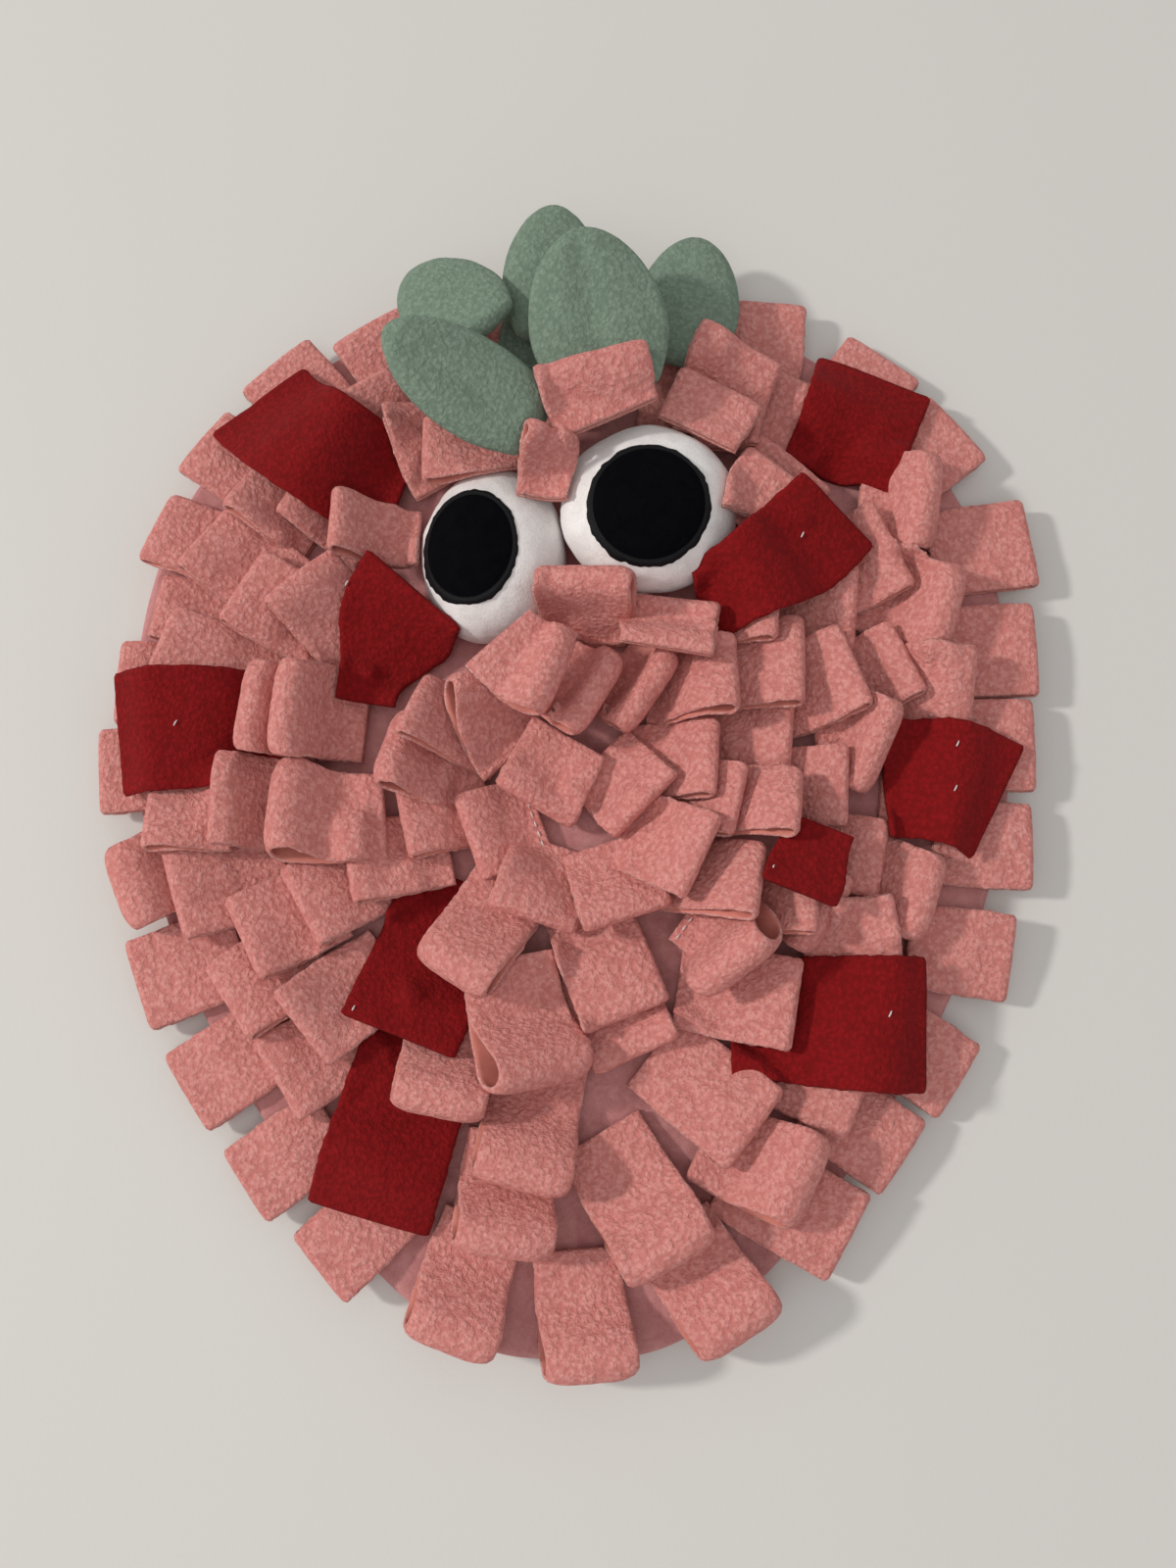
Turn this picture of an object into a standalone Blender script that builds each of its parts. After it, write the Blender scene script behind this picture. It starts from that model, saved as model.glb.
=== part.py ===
"""Snuffle mat: a flat egg-shaped pad covered with rows of folded fleece loops, with bigger red tabs,
stuffed leaves at the broad end and two stuffed round eyes.

The tables are in millimetres and degrees, the scene is in metres, +Z up. The origin lies under the
middle of the whole mat, on the surface that it rests on, and the leaves are at the +Y end.

Every loop is laid on what is already there, as a maker would sew it: the outer rows first, then the
inner ones over them. A height grid of the growing heap says how high each fold has to pass.
"""
import math
from collections import namedtuple

import bmesh
import bpy
import numpy as np

MM = 0.001

# ------------------------------------------------------------------ driving sizes, mm
PAD_THICK = 7.0
PAD_EDGE_RADIUS = 3.0
CLOTH = 1.8             # thickness of the pink fleece
TAB_CLOTH = 2.2         # thickness of the red tabs
ROOT_GAP = 0.8          # between the two layers of a loop where they are sewn down
ROOT_WIDTH = 13.0       # every loop and tab is gathered to this width where it is sewn down
ROOT_ZONE = 3.0         # the loop lies flat this far before and behind its root
HEADING_DEPTH = 5.0     # the sewn tape that joins the roots of neighbouring loops
HEADING_CLOTH = 1.2     # thickness of the tape, which runs through the lower layer of each root
ROUND_FOLD = 9.0        # a loop with a wider gap than this has a round fold, the others a sharp one
FLAT_SHARE = 0.35       # a loop's layers lie together over this share of its length
STEEPEST_TWIST = 0.5    # rise of one edge over the other, as a share of the width
STEEPEST_FALL = 0.8     # rise or fall of an edge from station to station, as a share of the way
DROOP_FROM = 17.0       # a loop sewn higher than this hangs down again by half of what it is above it
LONGER = (0, -3, 3, -6, 6, -9, -12, -15)      # other lengths tried for a loop, to sew it down lower
SHORTEST = 18           # mm, of a loop
SWING = (0, -10, 10, -20, 20, -30, 30)      # turns of the loop's root about its fold tried too, degrees
LONGER_COST = 0.12      # mm of height that a root may gain for each mm of change of length
SWING_COST = 0.05       # and for each degree of turn
FULL_WIDTH_AT = 0.55    # share of its length from where a loop has its full width
SETTLE_ROUNDS = 80      # a strip is raised step by step until it clears the heap
SETTLE_SHARE = 0.6      # of what it lacks, at each step
SECTION_ROUNDS = 8      # a section's loops and tape are laid again until the tape clears too
CLEAR = 0.03            # what a strip may still lack, less than LIE_GAP
SOLID_ROUNDS = 200      # a stuffed piece is raised step by step too, at its root and at its point
SOLID_SHARE = 0.7
SOLID_CLEAR = 0.02
TAPE_CLEAR = 0.05
LIE_GAP = 0.25          # between one piece and the next that lies on it
HALF_THICK = CLOTH / 2 * 1.1        # of a sloping layer, straight up
TAB_HALF_THICK = TAB_CLOTH / 2 * 1.2
TAB_STATIONS = 6        # places along a tab where its height is settled
STAGGER = 0.13          # neighbouring roots differ in height by this, so that no two layers share a plane
GRID_STEP = 1.0
GRID_HALF = (205.0, 245.0)
SAMPLE_STEP = 0.8

# ------------------------------------------------------------------ the pad's outline
# Half of the outline from the middle of the broad end round to the tip, +X side.
Edge = namedtuple("Edge", "x y")
PAD_EDGE = [
    Edge(0, 196), Edge(60, 188), Edge(112, 160), Edge(153, 112), Edge(170, 55), Edge(167, -10),
    Edge(148, -72), Edge(118, -125), Edge(77, -178), Edge(38, -208), Edge(0, -214),
]
EDGE_STEPS = 3          # points per stretch of the smoothed outline

# ------------------------------------------------------------------ the loops
# x, y: middle of the loop's fold. heading: the way it points. width, length: in plan, root to fold.
# gap: the opening between its two layers. lean: how far its left side is tipped up. rise: the
# least that the fold stands above the root.
Fold = namedtuple("Fold", "x y heading width length gap lean rise")
Sewn = namedtuple("Sewn", Fold._fields + ("swing",))

OUTER_ROW = {
    "outer_1": [
        Fold(77, 193, 86, 34, 36, 3, 0, 5),
        Fold(126, 170, 54, 34, 34, 3, 0, 5),
        Fold(154, 140, 40, 34, 36, 3, 0, 6),
    ],
    "outer_2": [
        Fold(180, 91, 8, 35, 38, 3, 0, 7),
        Fold(179, 47, 1, 36, 35, 3, 0, 7),
        Fold(176, 9, -1, 35, 34, 3, 0, 7),
    ],
    "outer_3": [
        Fold(173, -30, -2, 32, 34, 3, 0, 7),
        Fold(163, -72, -8, 32, 36, 3, 8, 7),
        Fold(142, -117, -34, 31, 32, 3, 0, 6),
        Fold(120, -144, -35, 31, 36, 3, 0, 6),
    ],
    "outer_4": [
        Fold(99, -171, -28, 34, 46, 3, 0, 5),
        Fold(59, -205, -58, 33, 42, 12, 10, 5),
        Fold(5, -218, -85, 32, 40, 12, 8, 5),
        Fold(-46, -207, -109, 32, 42, 13, 10, 5),
    ],
    "outer_5": [
        Fold(-91, -182, -138, 30, 34, 4, 8, 6),
        Fold(-119, -154, -145, 30, 36, 3, 0, 6),
        Fold(-142, -121, -147, 32, 38, 3, 0, 6),
        Fold(-162, -82, -160, 34, 38, 3, 0, 6),
    ],
    "outer_6": [
        Fold(-170, -46, -155, 33, 36, 12, 10, 7),
        Fold(-181, -1, -176, 32, 33, 3, 0, 6),
        Fold(-176, 34, 178, 32, 30, 3, 0, 4),
    ],
    "outer_7": [
        Fold(-162, 64, 172, 26, 32, 3.5, 8, 4),
        Fold(-164, 96, 160, 30, 34, 4, 12, 5),
        Fold(-148, 133, 146, 31, 36, 3.5, 10, 6),
    ],
    "outer_8": [
        Fold(-121, 166, 132, 34, 34, 3, 0, 6),
        Fold(-84, 182, 125, 32, 32, 3.5, 8, 5),
        Fold(-42, 197, 100, 33, 34, 3, 0, 5),
        Fold(-3, 203, 91, 33, 34, 3, 0, 4),
        Fold(37, 202, 88, 33, 34, 3, 0, 4),
    ],
}

SECOND_ROW = {
    "second_1": [
        Fold(-50, 168, 112, 33, 30, 3, 0, 3),
        Fold(-10, 172, 93, 33, 30, 3, 0, 3),
        Fold(48, 165, 76, 34, 32, 3, 0, 3),
        Fold(90, 155, 66, 34, 32, 3.5, 0, 4),
    ],
    "second_2": [
        Fold(141, 105, -8, 38, 26, 13, -8, 8),
        Fold(147, 62, -14, 34, 34, 13, -10, 6),
    ],
    "second_3": [
        Fold(151, 30, -3, 32, 28, 5, 0, 5),
        Fold(148, -8, -6, 32, 28, 3, 0, 3),
        Fold(134, -49, -20, 33, 30, 10, -8, 6),
    ],
    "second_4": [
        Fold(120, -92, -22, 33, 30, 3, 0, 3),
        Fold(104, -121, -22, 33, 32, 3, 0, 3),
        Fold(84, -154, -26, 33, 38, 14, 12, 4),
        Fold(35, -179, -60, 35, 48, 12, 12, 4),
        Fold(-27, -175, -97, 34, 38, 12, 10, 4),
    ],
    "second_5": [
        Fold(-70, -150, -122, 33, 30, 3, 0, 3),
        Fold(-107, -116, -147, 33, 34, 3, 0, 4),
        Fold(-125, -89, -143, 33, 34, 3, 0, 4),
        Fold(-147, -49, -163, 34, 38, 3.5, 0, 4),
    ],
    "second_6": [
        Fold(-158, -20, -177, 30, 28, 3, 0, 3),
        Fold(-150, 20, 178, 33, 26, 3, 0, 3),
        Fold(-156, 46, 165, 27, 48, 4, -8, 3),
    ],
    "second_7": [
        Fold(-143, 90, 146, 33, 40, 3.5, 0, 4),
        Fold(-128, 112, 150, 30, 30, 3, 0, 3),
        Fold(-108, 135, 138, 33, 28, 3, 0, 3),
        Fold(-86, 152, 128, 28, 28, 3.5, 0, 3),
    ],
}

THIRD_ROW = {
    "third_1": [
        Fold(123, 86, 25, 36, 28, 4, 0, 5),
        Fold(87, 122, 51, 35, 36, 3.5, 0, 4),
    ],
    "third_2": [
        Fold(127, 41, 22, 31, 32, 3.5, 0, 4),
        Fold(108, 62, -3, 33, 32, 3.5, 0, 4),
    ],
    "third_3": [
        Fold(118, 7, -30, 36, 24, 11, 0, 7),
        Fold(115, -36, -12, 30, 24, 3.5, 0, 4),
    ],
    "third_4": [
        Fold(96, -56, -30, 32, 20, 11, 0, 8),
        Fold(118, -62, 10, 28, 30, 3, 0, 4),
    ],
    "third_5": [
        Fold(65, -133, -38, 34, 42, 3.5, 0, 4),
    ],
    "third_6": [
        Fold(-21, -152, -104, 34, 44, 12, 8, 4),
        Fold(-50, -127, -101, 33, 36, 12, 6, 4),
    ],
    "third_7": [
        Fold(-98, -97, -143, 33, 36, 3.5, 0, 4),
        Fold(-120, -66, -152, 33, 32, 3, 0, 4),
        Fold(-100, -54, -150, 32, 36, 3.5, 0, 4),
    ],
    "third_8": [
        Fold(-132, -14, 178, 34, 30, 3, 0, 4),
        Fold(-123, 23, 172, 35, 24, 11, 6, 6),
    ],
    "third_9": [
        Fold(-127, 69, 152, 32, 36, 3.5, 0, 4),
        Fold(-105, 72, 133, 32, 40, 3.5, 0, 4),
        Fold(-106, 112, 146, 31, 32, 3.5, 0, 4),
    ],
}

INNER_ROW = {
    "inner_1": [
        Fold(102, -8, -2, 30, 38, 3.5, 0, 4),
        Fold(88, -50, -5, 30, 30, 3, 0, 3),
    ],
    "inner_2": [
        Fold(106, 36, 18, 34, 34, 4, 0, 4),
        Fold(82, 12, -5, 30, 32, 4, 0, 4),
    ],
    "inner_3": [
        Fold(86, 37, -3, 35, 36, 5, 0, 4),
        Fold(77, 60, -5, 30, 22, 4, 0, 4),
        Fold(80, 112, 47, 32, 22, 3.5, 0, 4),
    ],
    "inner_4": [
        Fold(81, -89, -10, 33, 40, 4, 0, 4),
        Fold(66, -74, -57, 33, 22, 12, -6, 7),
        Fold(67, -47, -12, 30, 40, 3.5, 0, 4),
    ],
    "inner_5": [
        Fold(24, -107, -65, 33, 36, 3, 0, 3),
        Fold(-16, -118, -80, 36, 44, 11, 6, 4),
    ],
    "inner_6": [
        Fold(20, -93, -68, 33, 42, 3.5, 0, 3),
        Fold(-44, -80, -122, 33, 42, 12, 10, 4),
    ],
    "inner_7": [
        Fold(-83, -38, -168, 30, 34, 4, 0, 4),
        Fold(-111, -20, 175, 34, 38, 10, -6, 4),
        Fold(-110, 22, 175, 36, 28, 11, 4, 8),
    ],
    "inner_8": [
        Fold(-92, 91, 178, 24, 32, 5, 0, 4),
        Fold(-66, 144, 100, 20, 38, 4, 25, 5),
        Fold(-58, 122, 178, 26, 32, 5, 0, 4),
    ],
}

CROWN_ROW = {
    "crown_1": [
        Fold(65, 165, 64, 35, 30, 3.5, 0, 4),
        Fold(57, 145, 63, 34, 20, 4, 0, 4),
        Fold(6, 146, 103, 42, 20, 3.5, 0, 4),
        Fold(-9, 120, 82, 20, 24, 3.5, 0, 3),
    ],
}

MIDDLE_ROW = {
    "middle_5": [
        Fold(82, -18, -9, 27, 32, 4, 0, 4),
        Fold(61, -16, -14, 27, 32, 3.5, 0, 4),
        Fold(53, 0, -5, 30, 30, 3.5, 0, 4),
        Fold(61, 31, 0, 32, 30, 5, 0, 4),
    ],
    "middle_1": [
        Fold(-64, -20, -166, 33, 30, 4, 0, 4),
        Fold(-70, 5, 167, 33, 28, 11, 12, 6),
        Fold(-60, 20, 160, 28, 32, 3, 12, 5),
    ],
    "middle_2": [
        Fold(-35, 33, 97, 31, 23, 10, 0, 8),
    ],
    "middle_6": [
        Fold(-39, -28, -160, 33, 25, 4, 0, 4),
        Fold(-16, -58, -108, 33, 27, 4, 0, 4),
        Fold(20, -58, -72, 33, 27, 4, 0, 4),
        Fold(47, -37, -25, 32, 25, 4, 0, 4),
        Fold(28, -16, -46, 33, 24, 4, 0, 4),
        Fold(-16, -15, -120, 33, 26, 5, 0, 4),
    ],
    "middle_3": [
        Fold(-4, 29, -14, 33, 18, 10, 0, 9),
        Fold(11, 23, -31, 34, 18, 10, 0, 9),
        Fold(31, 25, -35, 34, 18, 10, 0, 9),
    ],
    "middle_4": [
        Fold(38, 62, 80, 36, 20, 5, 0, 5),
        Fold(6, 70, 86, 36, 24, 10, 0, 6),
    ],
}

# ------------------------------------------------------------------ the red tabs
# One layer each.
Tab = namedtuple("Tab", "x y heading width length rise")

TABS = {
    "tab_1": Tab(-125, 147, 130, 45, 66, 4),
    "tab_2": Tab(120, 158, 69, 47, 54, 4),
    "tab_3": Tab(100, 96, 50, 40, 54, 4),
    "tab_4": Tab(159, -14, -28, 48, 52, 4),
    "tab_5": Tab(127, -96, -2, 48, 66, 4),
    "tab_6": Tab(80, -50, -112, 28, 36, 5),
    "tab_7": Tab(-170, 11, -176, 46, 58, 4),
    "tab_8": Tab(-60, 66, 50, 46, 58, 5),
    "tab_9": Tab(-63, -100, -111, 44, 58, 4),
    "tab_10": Tab(-73, -164, -106, 45, 66, 4),
}

# ------------------------------------------------------------------ the leaves
# root and point of each leaf in plan, its width and thickness.
# curl: how far its point stands up from what it lies on.
LEAF_FACETS = 8
LEAF_TAPER = 0.22       # a leaf is this much wider near its root and narrower near its point
LEAF_FLAT_ROOT = 0.75   # its thickness at the root, as a share
Leaf = namedtuple("Leaf", "root_x root_y point_x point_y width thick curl")

LEAVES = {
    "leaf_1": Leaf(-31, 158, -64, 196, 40, 13, 0),
    "leaf_2": Leaf(-12, 121, -69, 152, 38, 13, 0),
    "leaf_3": Leaf(-9, 160, -8, 219, 38, 11, 12),
    "leaf_4": Leaf(-17, 146, -20, 183, 24, 9, 0),
    "leaf_5": Leaf(15, 134, 2, 199, 52, 12, 0),
    "leaf_6": Leaf(41, 157, 50, 216, 41, 12, 0),
}

# ------------------------------------------------------------------ the eyes
Eye = namedtuple("Eye", "x y half_x half_y height turn pupil_x pupil_y pupil_half_x pupil_half_y")

EYES = {
    "left": Eye(-31, 83, 28, 35, 22, -3, -39, 81, 18.5, 22.5),
    "right": Eye(29, 98, 34, 33, 22, 0, 28, 94, 23, 23),
}
PUPIL_CLOTH = 2.2
EYE_BELOW = 7.0         # the rounded underside of an eye reaches this far below its widest line
EYE_SPOKES = 14
EYE_RINGS = 8
PUPIL_RINGS = 3
PUPIL_ABOVE = PUPIL_CLOTH / 2 + 2 * LIE_GAP     # the middle of its cloth, over the dome
DOME_EDGE = 0.98        # a pupil that reaches over the edge of its eye stays this far in

# ------------------------------------------------------------------ colours, linear
PINK = (0.60, 0.27, 0.25)
RED = (0.33, 0.010, 0.015)
GREEN = (0.22, 0.33, 0.25)
WHITE = (0.74, 0.72, 0.71)
BLACK = (0.008, 0.008, 0.012)
VELOUR = (0.48, 0.20, 0.22)


def along(heading):
    """Unit vector of a heading, in plan."""
    turn = math.radians(heading)
    return np.array([math.cos(turn), math.sin(turn)])


def leftward(heading):
    """Unit vector to the left of a heading, in plan."""
    return along(heading + 90)


def smooth(share):
    """Smooth step from 0 to 1."""
    share = np.clip(share, 0.0, 1.0)
    return share * share * (3 - 2 * share)


# ------------------------------------------------------------------ the growing heap
class Heap:
    """Height of the top of all that is laid so far, on a square grid."""

    def __init__(self):
        self.count = [int(2 * half / GRID_STEP) + 1 for half in GRID_HALF]
        self.top = np.zeros(self.count)

    def cells(self, points):
        cell = np.empty((len(points), 2), int)
        for axis in (0, 1):
            place = np.rint((points[:, axis] + GRID_HALF[axis]) / GRID_STEP).astype(int)
            cell[:, axis] = np.clip(place, 1, self.count[axis] - 2)
        return cell[:, 0], cell[:, 1]

    def under(self, points, top=None):
        """The height that each point has below it, from the cells round it."""
        heap = self.top if top is None else top
        i, j = self.cells(points)
        return np.max([heap[i + di, j + dj] for di in (-1, 0, 1) for dj in (-1, 0, 1)], axis=0)

    def lay(self, points):
        i, j = self.cells(points)
        np.maximum.at(self.top, (i, j), points[:, 2])


def samples(rows):
    """Points spread over a ribbon of edge pairs, with the stretch, and how far across and ahead in it."""
    points, stretch, across, ahead = [], [], [], []
    for number, (near, far) in enumerate(zip(rows[:-1], rows[1:])):
        wide = max(np.linalg.norm(near[0] - near[1]), np.linalg.norm(far[0] - far[1]))
        deep = max(np.linalg.norm(near[0] - far[0]), np.linalg.norm(near[1] - far[1]))
        u, v = np.meshgrid(
            np.linspace(0, 1, int(deep / SAMPLE_STEP) + 2), np.linspace(0, 1, int(wide / SAMPLE_STEP) + 2)
        )
        u, v = u.reshape(-1, 1), v.reshape(-1, 1)
        points.append((1 - u) * ((1 - v) * near[0] + v * near[1]) + u * ((1 - v) * far[0] + v * far[1]))
        stretch.append(np.full(len(u), number))
        across.append(v[:, 0])
        ahead.append(u[:, 0])
    return tuple(np.concatenate(part) for part in (points, stretch, across, ahead))


def eased(places, heights):
    """The lowest line over the heights that is nowhere too steep."""
    heights = list(heights)
    for here in range(1, len(places)):
        fall = STEEPEST_FALL * (places[here] - places[here - 1])
        heights[here] = max(heights[here], heights[here - 1] - fall)
    for here in range(len(places) - 2, -1, -1):
        fall = STEEPEST_FALL * (places[here + 1] - places[here])
        heights[here] = max(heights[here], heights[here + 1] - fall)
    return np.array(heights)


# ------------------------------------------------------------------ meshes
def new_material(name, colour, roughness):
    material = bpy.data.materials.new(name)
    material.use_nodes = True
    shader = material.node_tree.nodes["Principled BSDF"]
    shader.inputs["Base Color"].default_value = (*colour, 1.0)
    shader.inputs["Roughness"].default_value = roughness
    shader.inputs["Metallic"].default_value = 0.0
    material.diffuse_color = (*colour, 1.0)
    return material


def new_object(name, mesh, collection, colour=None, roughness=0.95):
    thing = bpy.data.objects.new(name, mesh)
    collection.objects.link(thing)
    if colour:
        mesh.materials.append(new_material(name, colour, roughness))
    return thing


def ribbon(name, rows, thick, collection, colour=None):
    """A strip of cloth through pairs of edge points, given its thickness by Solidify."""
    shape = bmesh.new()
    lines = [[shape.verts.new(point * MM) for point in row] for row in rows]
    for near, far in zip(lines[:-1], lines[1:]):
        for column in range(len(near) - 1):
            shape.faces.new((near[column], far[column], far[column + 1], near[column + 1]))
    mesh = bpy.data.meshes.new(name)
    shape.to_mesh(mesh)
    shape.free()
    strip = new_object(name, mesh, collection, colour)
    body = strip.modifiers.new("cloth", "SOLIDIFY")
    body.thickness = thick * MM
    body.offset = 0.0
    return strip


def as_cutter(thing):
    thing.hide_render = True
    thing.display_type = "WIRE"


# ------------------------------------------------------------------ the pad
def pad_outline():
    """The whole outline, smoothed through its few points, as a closed ring in plan."""
    half = [np.array(point, float) for point in PAD_EDGE]
    ring = half + [point * (-1, 1) for point in half[-2:0:-1]]
    line = []
    for k in range(len(ring)):
        before, start, end, after = (ring[(k + step) % len(ring)] for step in (-1, 0, 1, 2))
        for part in range(EDGE_STEPS):
            t = part / EDGE_STEPS
            line.append(0.5 * (2 * start + (end - before) * t
                               + (2 * before - 5 * start + 4 * end - after) * t ** 2
                               + (3 * start - before - 3 * end + after) * t ** 3))
    return np.array(line)


def make_pad(collection, outline):
    curve = bpy.data.curves.new("pad", "CURVE")
    curve.dimensions = "2D"
    curve.fill_mode = "BOTH"
    curve.extrude = (PAD_THICK / 2 - PAD_EDGE_RADIUS) * MM
    curve.bevel_depth = PAD_EDGE_RADIUS * MM
    curve.offset = -PAD_EDGE_RADIUS * MM
    curve.bevel_resolution = 1
    spline = curve.splines.new("POLY")
    spline.points.add(len(outline) - 1)
    for point, (x, y) in zip(spline.points, outline):
        point.co = (x * MM, y * MM, 0, 1)
    spline.use_cyclic_u = True
    pad = new_object("pad", curve, collection, VELOUR)
    pad.location.z = PAD_THICK / 2 * MM
    return pad


def lay_pad(heap, outline):
    """Raise the heap by the pad wherever the grid lies inside the outline."""
    x = np.linspace(-GRID_HALF[0], GRID_HALF[0], heap.count[0])[:, None]
    y = np.linspace(-GRID_HALF[1], GRID_HALF[1], heap.count[1])[None, :]
    inside = np.zeros(heap.top.shape, bool)
    for (x0, y0), (x1, y1) in zip(outline, np.roll(outline, -1, axis=0)):
        if y0 != y1:
            crosses = ((y0 > y) != (y1 > y)) & (x < (x1 - x0) * (y - y0) / (y1 - y0) + x0)
            inside ^= crosses
    heap.top[inside] = PAD_THICK


# ------------------------------------------------------------------ loops
def middle_at(piece, place):
    """The middle of a sewn loop in plan, and the way to its left, this far from its root."""
    back = 1 - place / piece.length
    tip = np.array([piece.x, piece.y])
    middle = tip - back * piece.length * along(piece.heading + piece.swing * back / 2)
    return middle, leftward(piece.heading + piece.swing * back)


def half_width(piece, place):
    share = smooth((place - ROOT_ZONE) / (FULL_WIDTH_AT * piece.length - ROOT_ZONE))
    return (ROOT_WIDTH + (piece.width - ROOT_WIDTH) * share) / 2


def root_patch(piece):
    """Points spread over the flat root of a loop, in plan."""
    rows = []
    for place in (-ROOT_ZONE, ROOT_ZONE):
        middle, left = middle_at(piece, place)
        rows.append([np.array([*(middle + side * ROOT_WIDTH / 2 * left), 0.0]) for side in (-1, 1)])
    return samples(rows)[0]


def sew_down(fold, heap):
    """The loop with the length and swing that bring its root down lowest."""
    best, least = None, math.inf
    for longer in LONGER:
        for swing in SWING:
            piece = Sewn(*fold._replace(length=fold.length + longer), swing)
            cost = heap.under(root_patch(piece)).max() + LONGER_COST * abs(longer) + SWING_COST * abs(swing)
            if piece.length >= SHORTEST and cost < least:
                best, least = piece, cost
    return best


def fold_rows(piece, places, heights):
    """Edge pairs of a loop: out along its lower layer, round the fold and back along the upper one.

    heights holds the height of the lower layer at its right and left edge for each place.
    """
    bend = (piece.gap + CLOTH) / 2
    reach = places[-1]
    root_apart = CLOTH + ROOT_GAP
    last = len(places) - 1
    slopes = np.gradient(heights.mean(axis=1), places)
    slopes[:2] = [0.0, slopes[1] / 2]
    line = [(place, 0.0, number) for number, place in enumerate(places)]
    for angle in (-30, 30) if piece.gap > ROUND_FOLD else (0,):
        turn = math.radians(angle)
        line.append((reach + bend * math.cos(turn), bend * (1 + math.sin(turn)), last))
    for number in range(last, -1, -1):
        open_share = smooth((places[number] / reach - FLAT_SHARE) / (1 - FLAT_SHARE))
        apart = root_apart + open_share * (2 * bend - root_apart)
        line.append((places[number], apart * math.sqrt(1 + slopes[number] ** 2), number))
    rows = []
    for place, apart, number in line:
        middle, left = middle_at(piece, place)
        half = half_width(piece, place)
        right_height, left_height = heights[number]
        tilt = math.atan2(left_height - right_height, 2 * half)
        middle = middle - left * math.sin(tilt) * apart
        height = (right_height + left_height) / 2 + math.cos(tilt) * apart
        rows.append([
            np.array([*(middle + side * half * math.cos(tilt) * left), height + side * half * math.sin(tilt)])
            for side in (-1, 1)
        ])
    return rows


def settle(piece, places, lowest, rows_at, owner, heap, below, half_thick, lean=0.0):
    """Raise the edges of a strip, station by station, until all of it clears the heap.

    The first two stations are its flat root. Up to the third one only what lies below its section counts.
    """
    share = smooth((np.array(places) - ROOT_ZONE) / (FULL_WIDTH_AT * piece.length - ROOT_ZONE))
    tip_up = math.tan(math.radians(lean)) * piece.width / 2
    rise = piece.rise - max(0.0, lowest - DROOP_FROM) / 2
    level = lowest + rise * np.clip(np.array(places) / places[-1], 0, 1)
    heights = np.stack([level - tip_up * share, level + tip_up * share], axis=1)
    owner = np.array(owner)
    for _ in range(SETTLE_ROUNDS):
        rows = rows_at(heights)
        points, stretch, across, ahead = samples(rows)
        near_root = np.maximum(owner[stretch], owner[stretch + 1]) <= 2
        floor = np.where(near_root, heap.under(points, below), heap.under(points))
        short = floor + LIE_GAP + half_thick - points[:, 2]
        need = np.zeros_like(heights)
        for share_along, station_of in ((1 - ahead, owner[stretch]), (ahead, owner[stretch + 1])):
            along_part = share_along / ((1 - ahead) ** 2 + ahead ** 2)
            for edge, share_across in enumerate((1 - across, across)):
                part = short * along_part * share_across / ((1 - across) ** 2 + across ** 2)
                for station in range(len(places)):
                    mine = station_of == station
                    if mine.any():
                        need[station, edge] = max(need[station, edge], part[mine].max())
        if need.max() < CLEAR:
            break
        heights = heights + SETTLE_SHARE * need
        heights[:2] = heights[:2].max()
        for edge in (0, 1):
            heights[2:, edge] = eased(places[2:], heights[2:, edge])
        most = STEEPEST_TWIST * piece.width * share
        heights = np.maximum(heights, heights.max(axis=1, keepdims=True) - most[:, None])
    return heights


def lay_fold(piece, lowest, heap, below, extra):
    """The edge pairs of a loop that clears the heap by a little extra, and the height of its root."""
    bend = (piece.gap + CLOTH) / 2
    reach = piece.length - bend
    places = [-ROOT_ZONE, ROOT_ZONE, (ROOT_ZONE + reach) / 2, reach]
    last = len(places) - 1
    folded = [last, last] if piece.gap > ROUND_FOLD else [last]
    owner = list(range(len(places))) + folded + list(range(last, -1, -1))
    heights = settle(
        piece, places, lowest, lambda h: fold_rows(piece, places, h), owner, heap, below, HALF_THICK + extra,
        piece.lean
    )
    return fold_rows(piece, places, heights), heights[0, 0]


def heading_plan(pieces):
    """The sewn tape in plan: its middle line through both ends of every root, and whose root each is."""
    line, owners = [], []
    for number, piece in enumerate(pieces):
        root, left = middle_at(piece, 0.0)
        ends = [root + side * (ROOT_WIDTH / 2 - 0.5) * left for side in (-1, 1)]
        ahead = pieces[min(number + 1, len(pieces) - 1)]
        behind = pieces[max(number - 1, 0)]
        way = middle_at(ahead, 0.0)[0] - middle_at(behind, 0.0)[0]
        if np.dot(way, left) < 0:
            ends.reverse()
        if line:
            line.append((line[-1] + ends[0]) / 2)
            owners.append(None)
        line += ends
        owners += [number, number]
    return line, owners


def heading_line(plan, owners, roots, lifts):
    """The tape's edge pairs, at the heights of the roots, and between two roots lifted over the heap."""
    rows = []
    for k, (point, owner) in enumerate(zip(plan, owners)):
        run = plan[min(k + 1, len(plan) - 1)] - plan[max(k - 1, 0)]
        across = np.array([-run[1], run[0]]) / np.linalg.norm(run) * HEADING_DEPTH / 2
        if owner is None:
            height = (roots[owners[k - 1]] + roots[owners[k + 1]]) / 2 + lifts[k]
        else:
            height = roots[owner]
        rows.append([np.array([*(point - across), height]), np.array([*(point + across), height])])
    return rows


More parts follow.
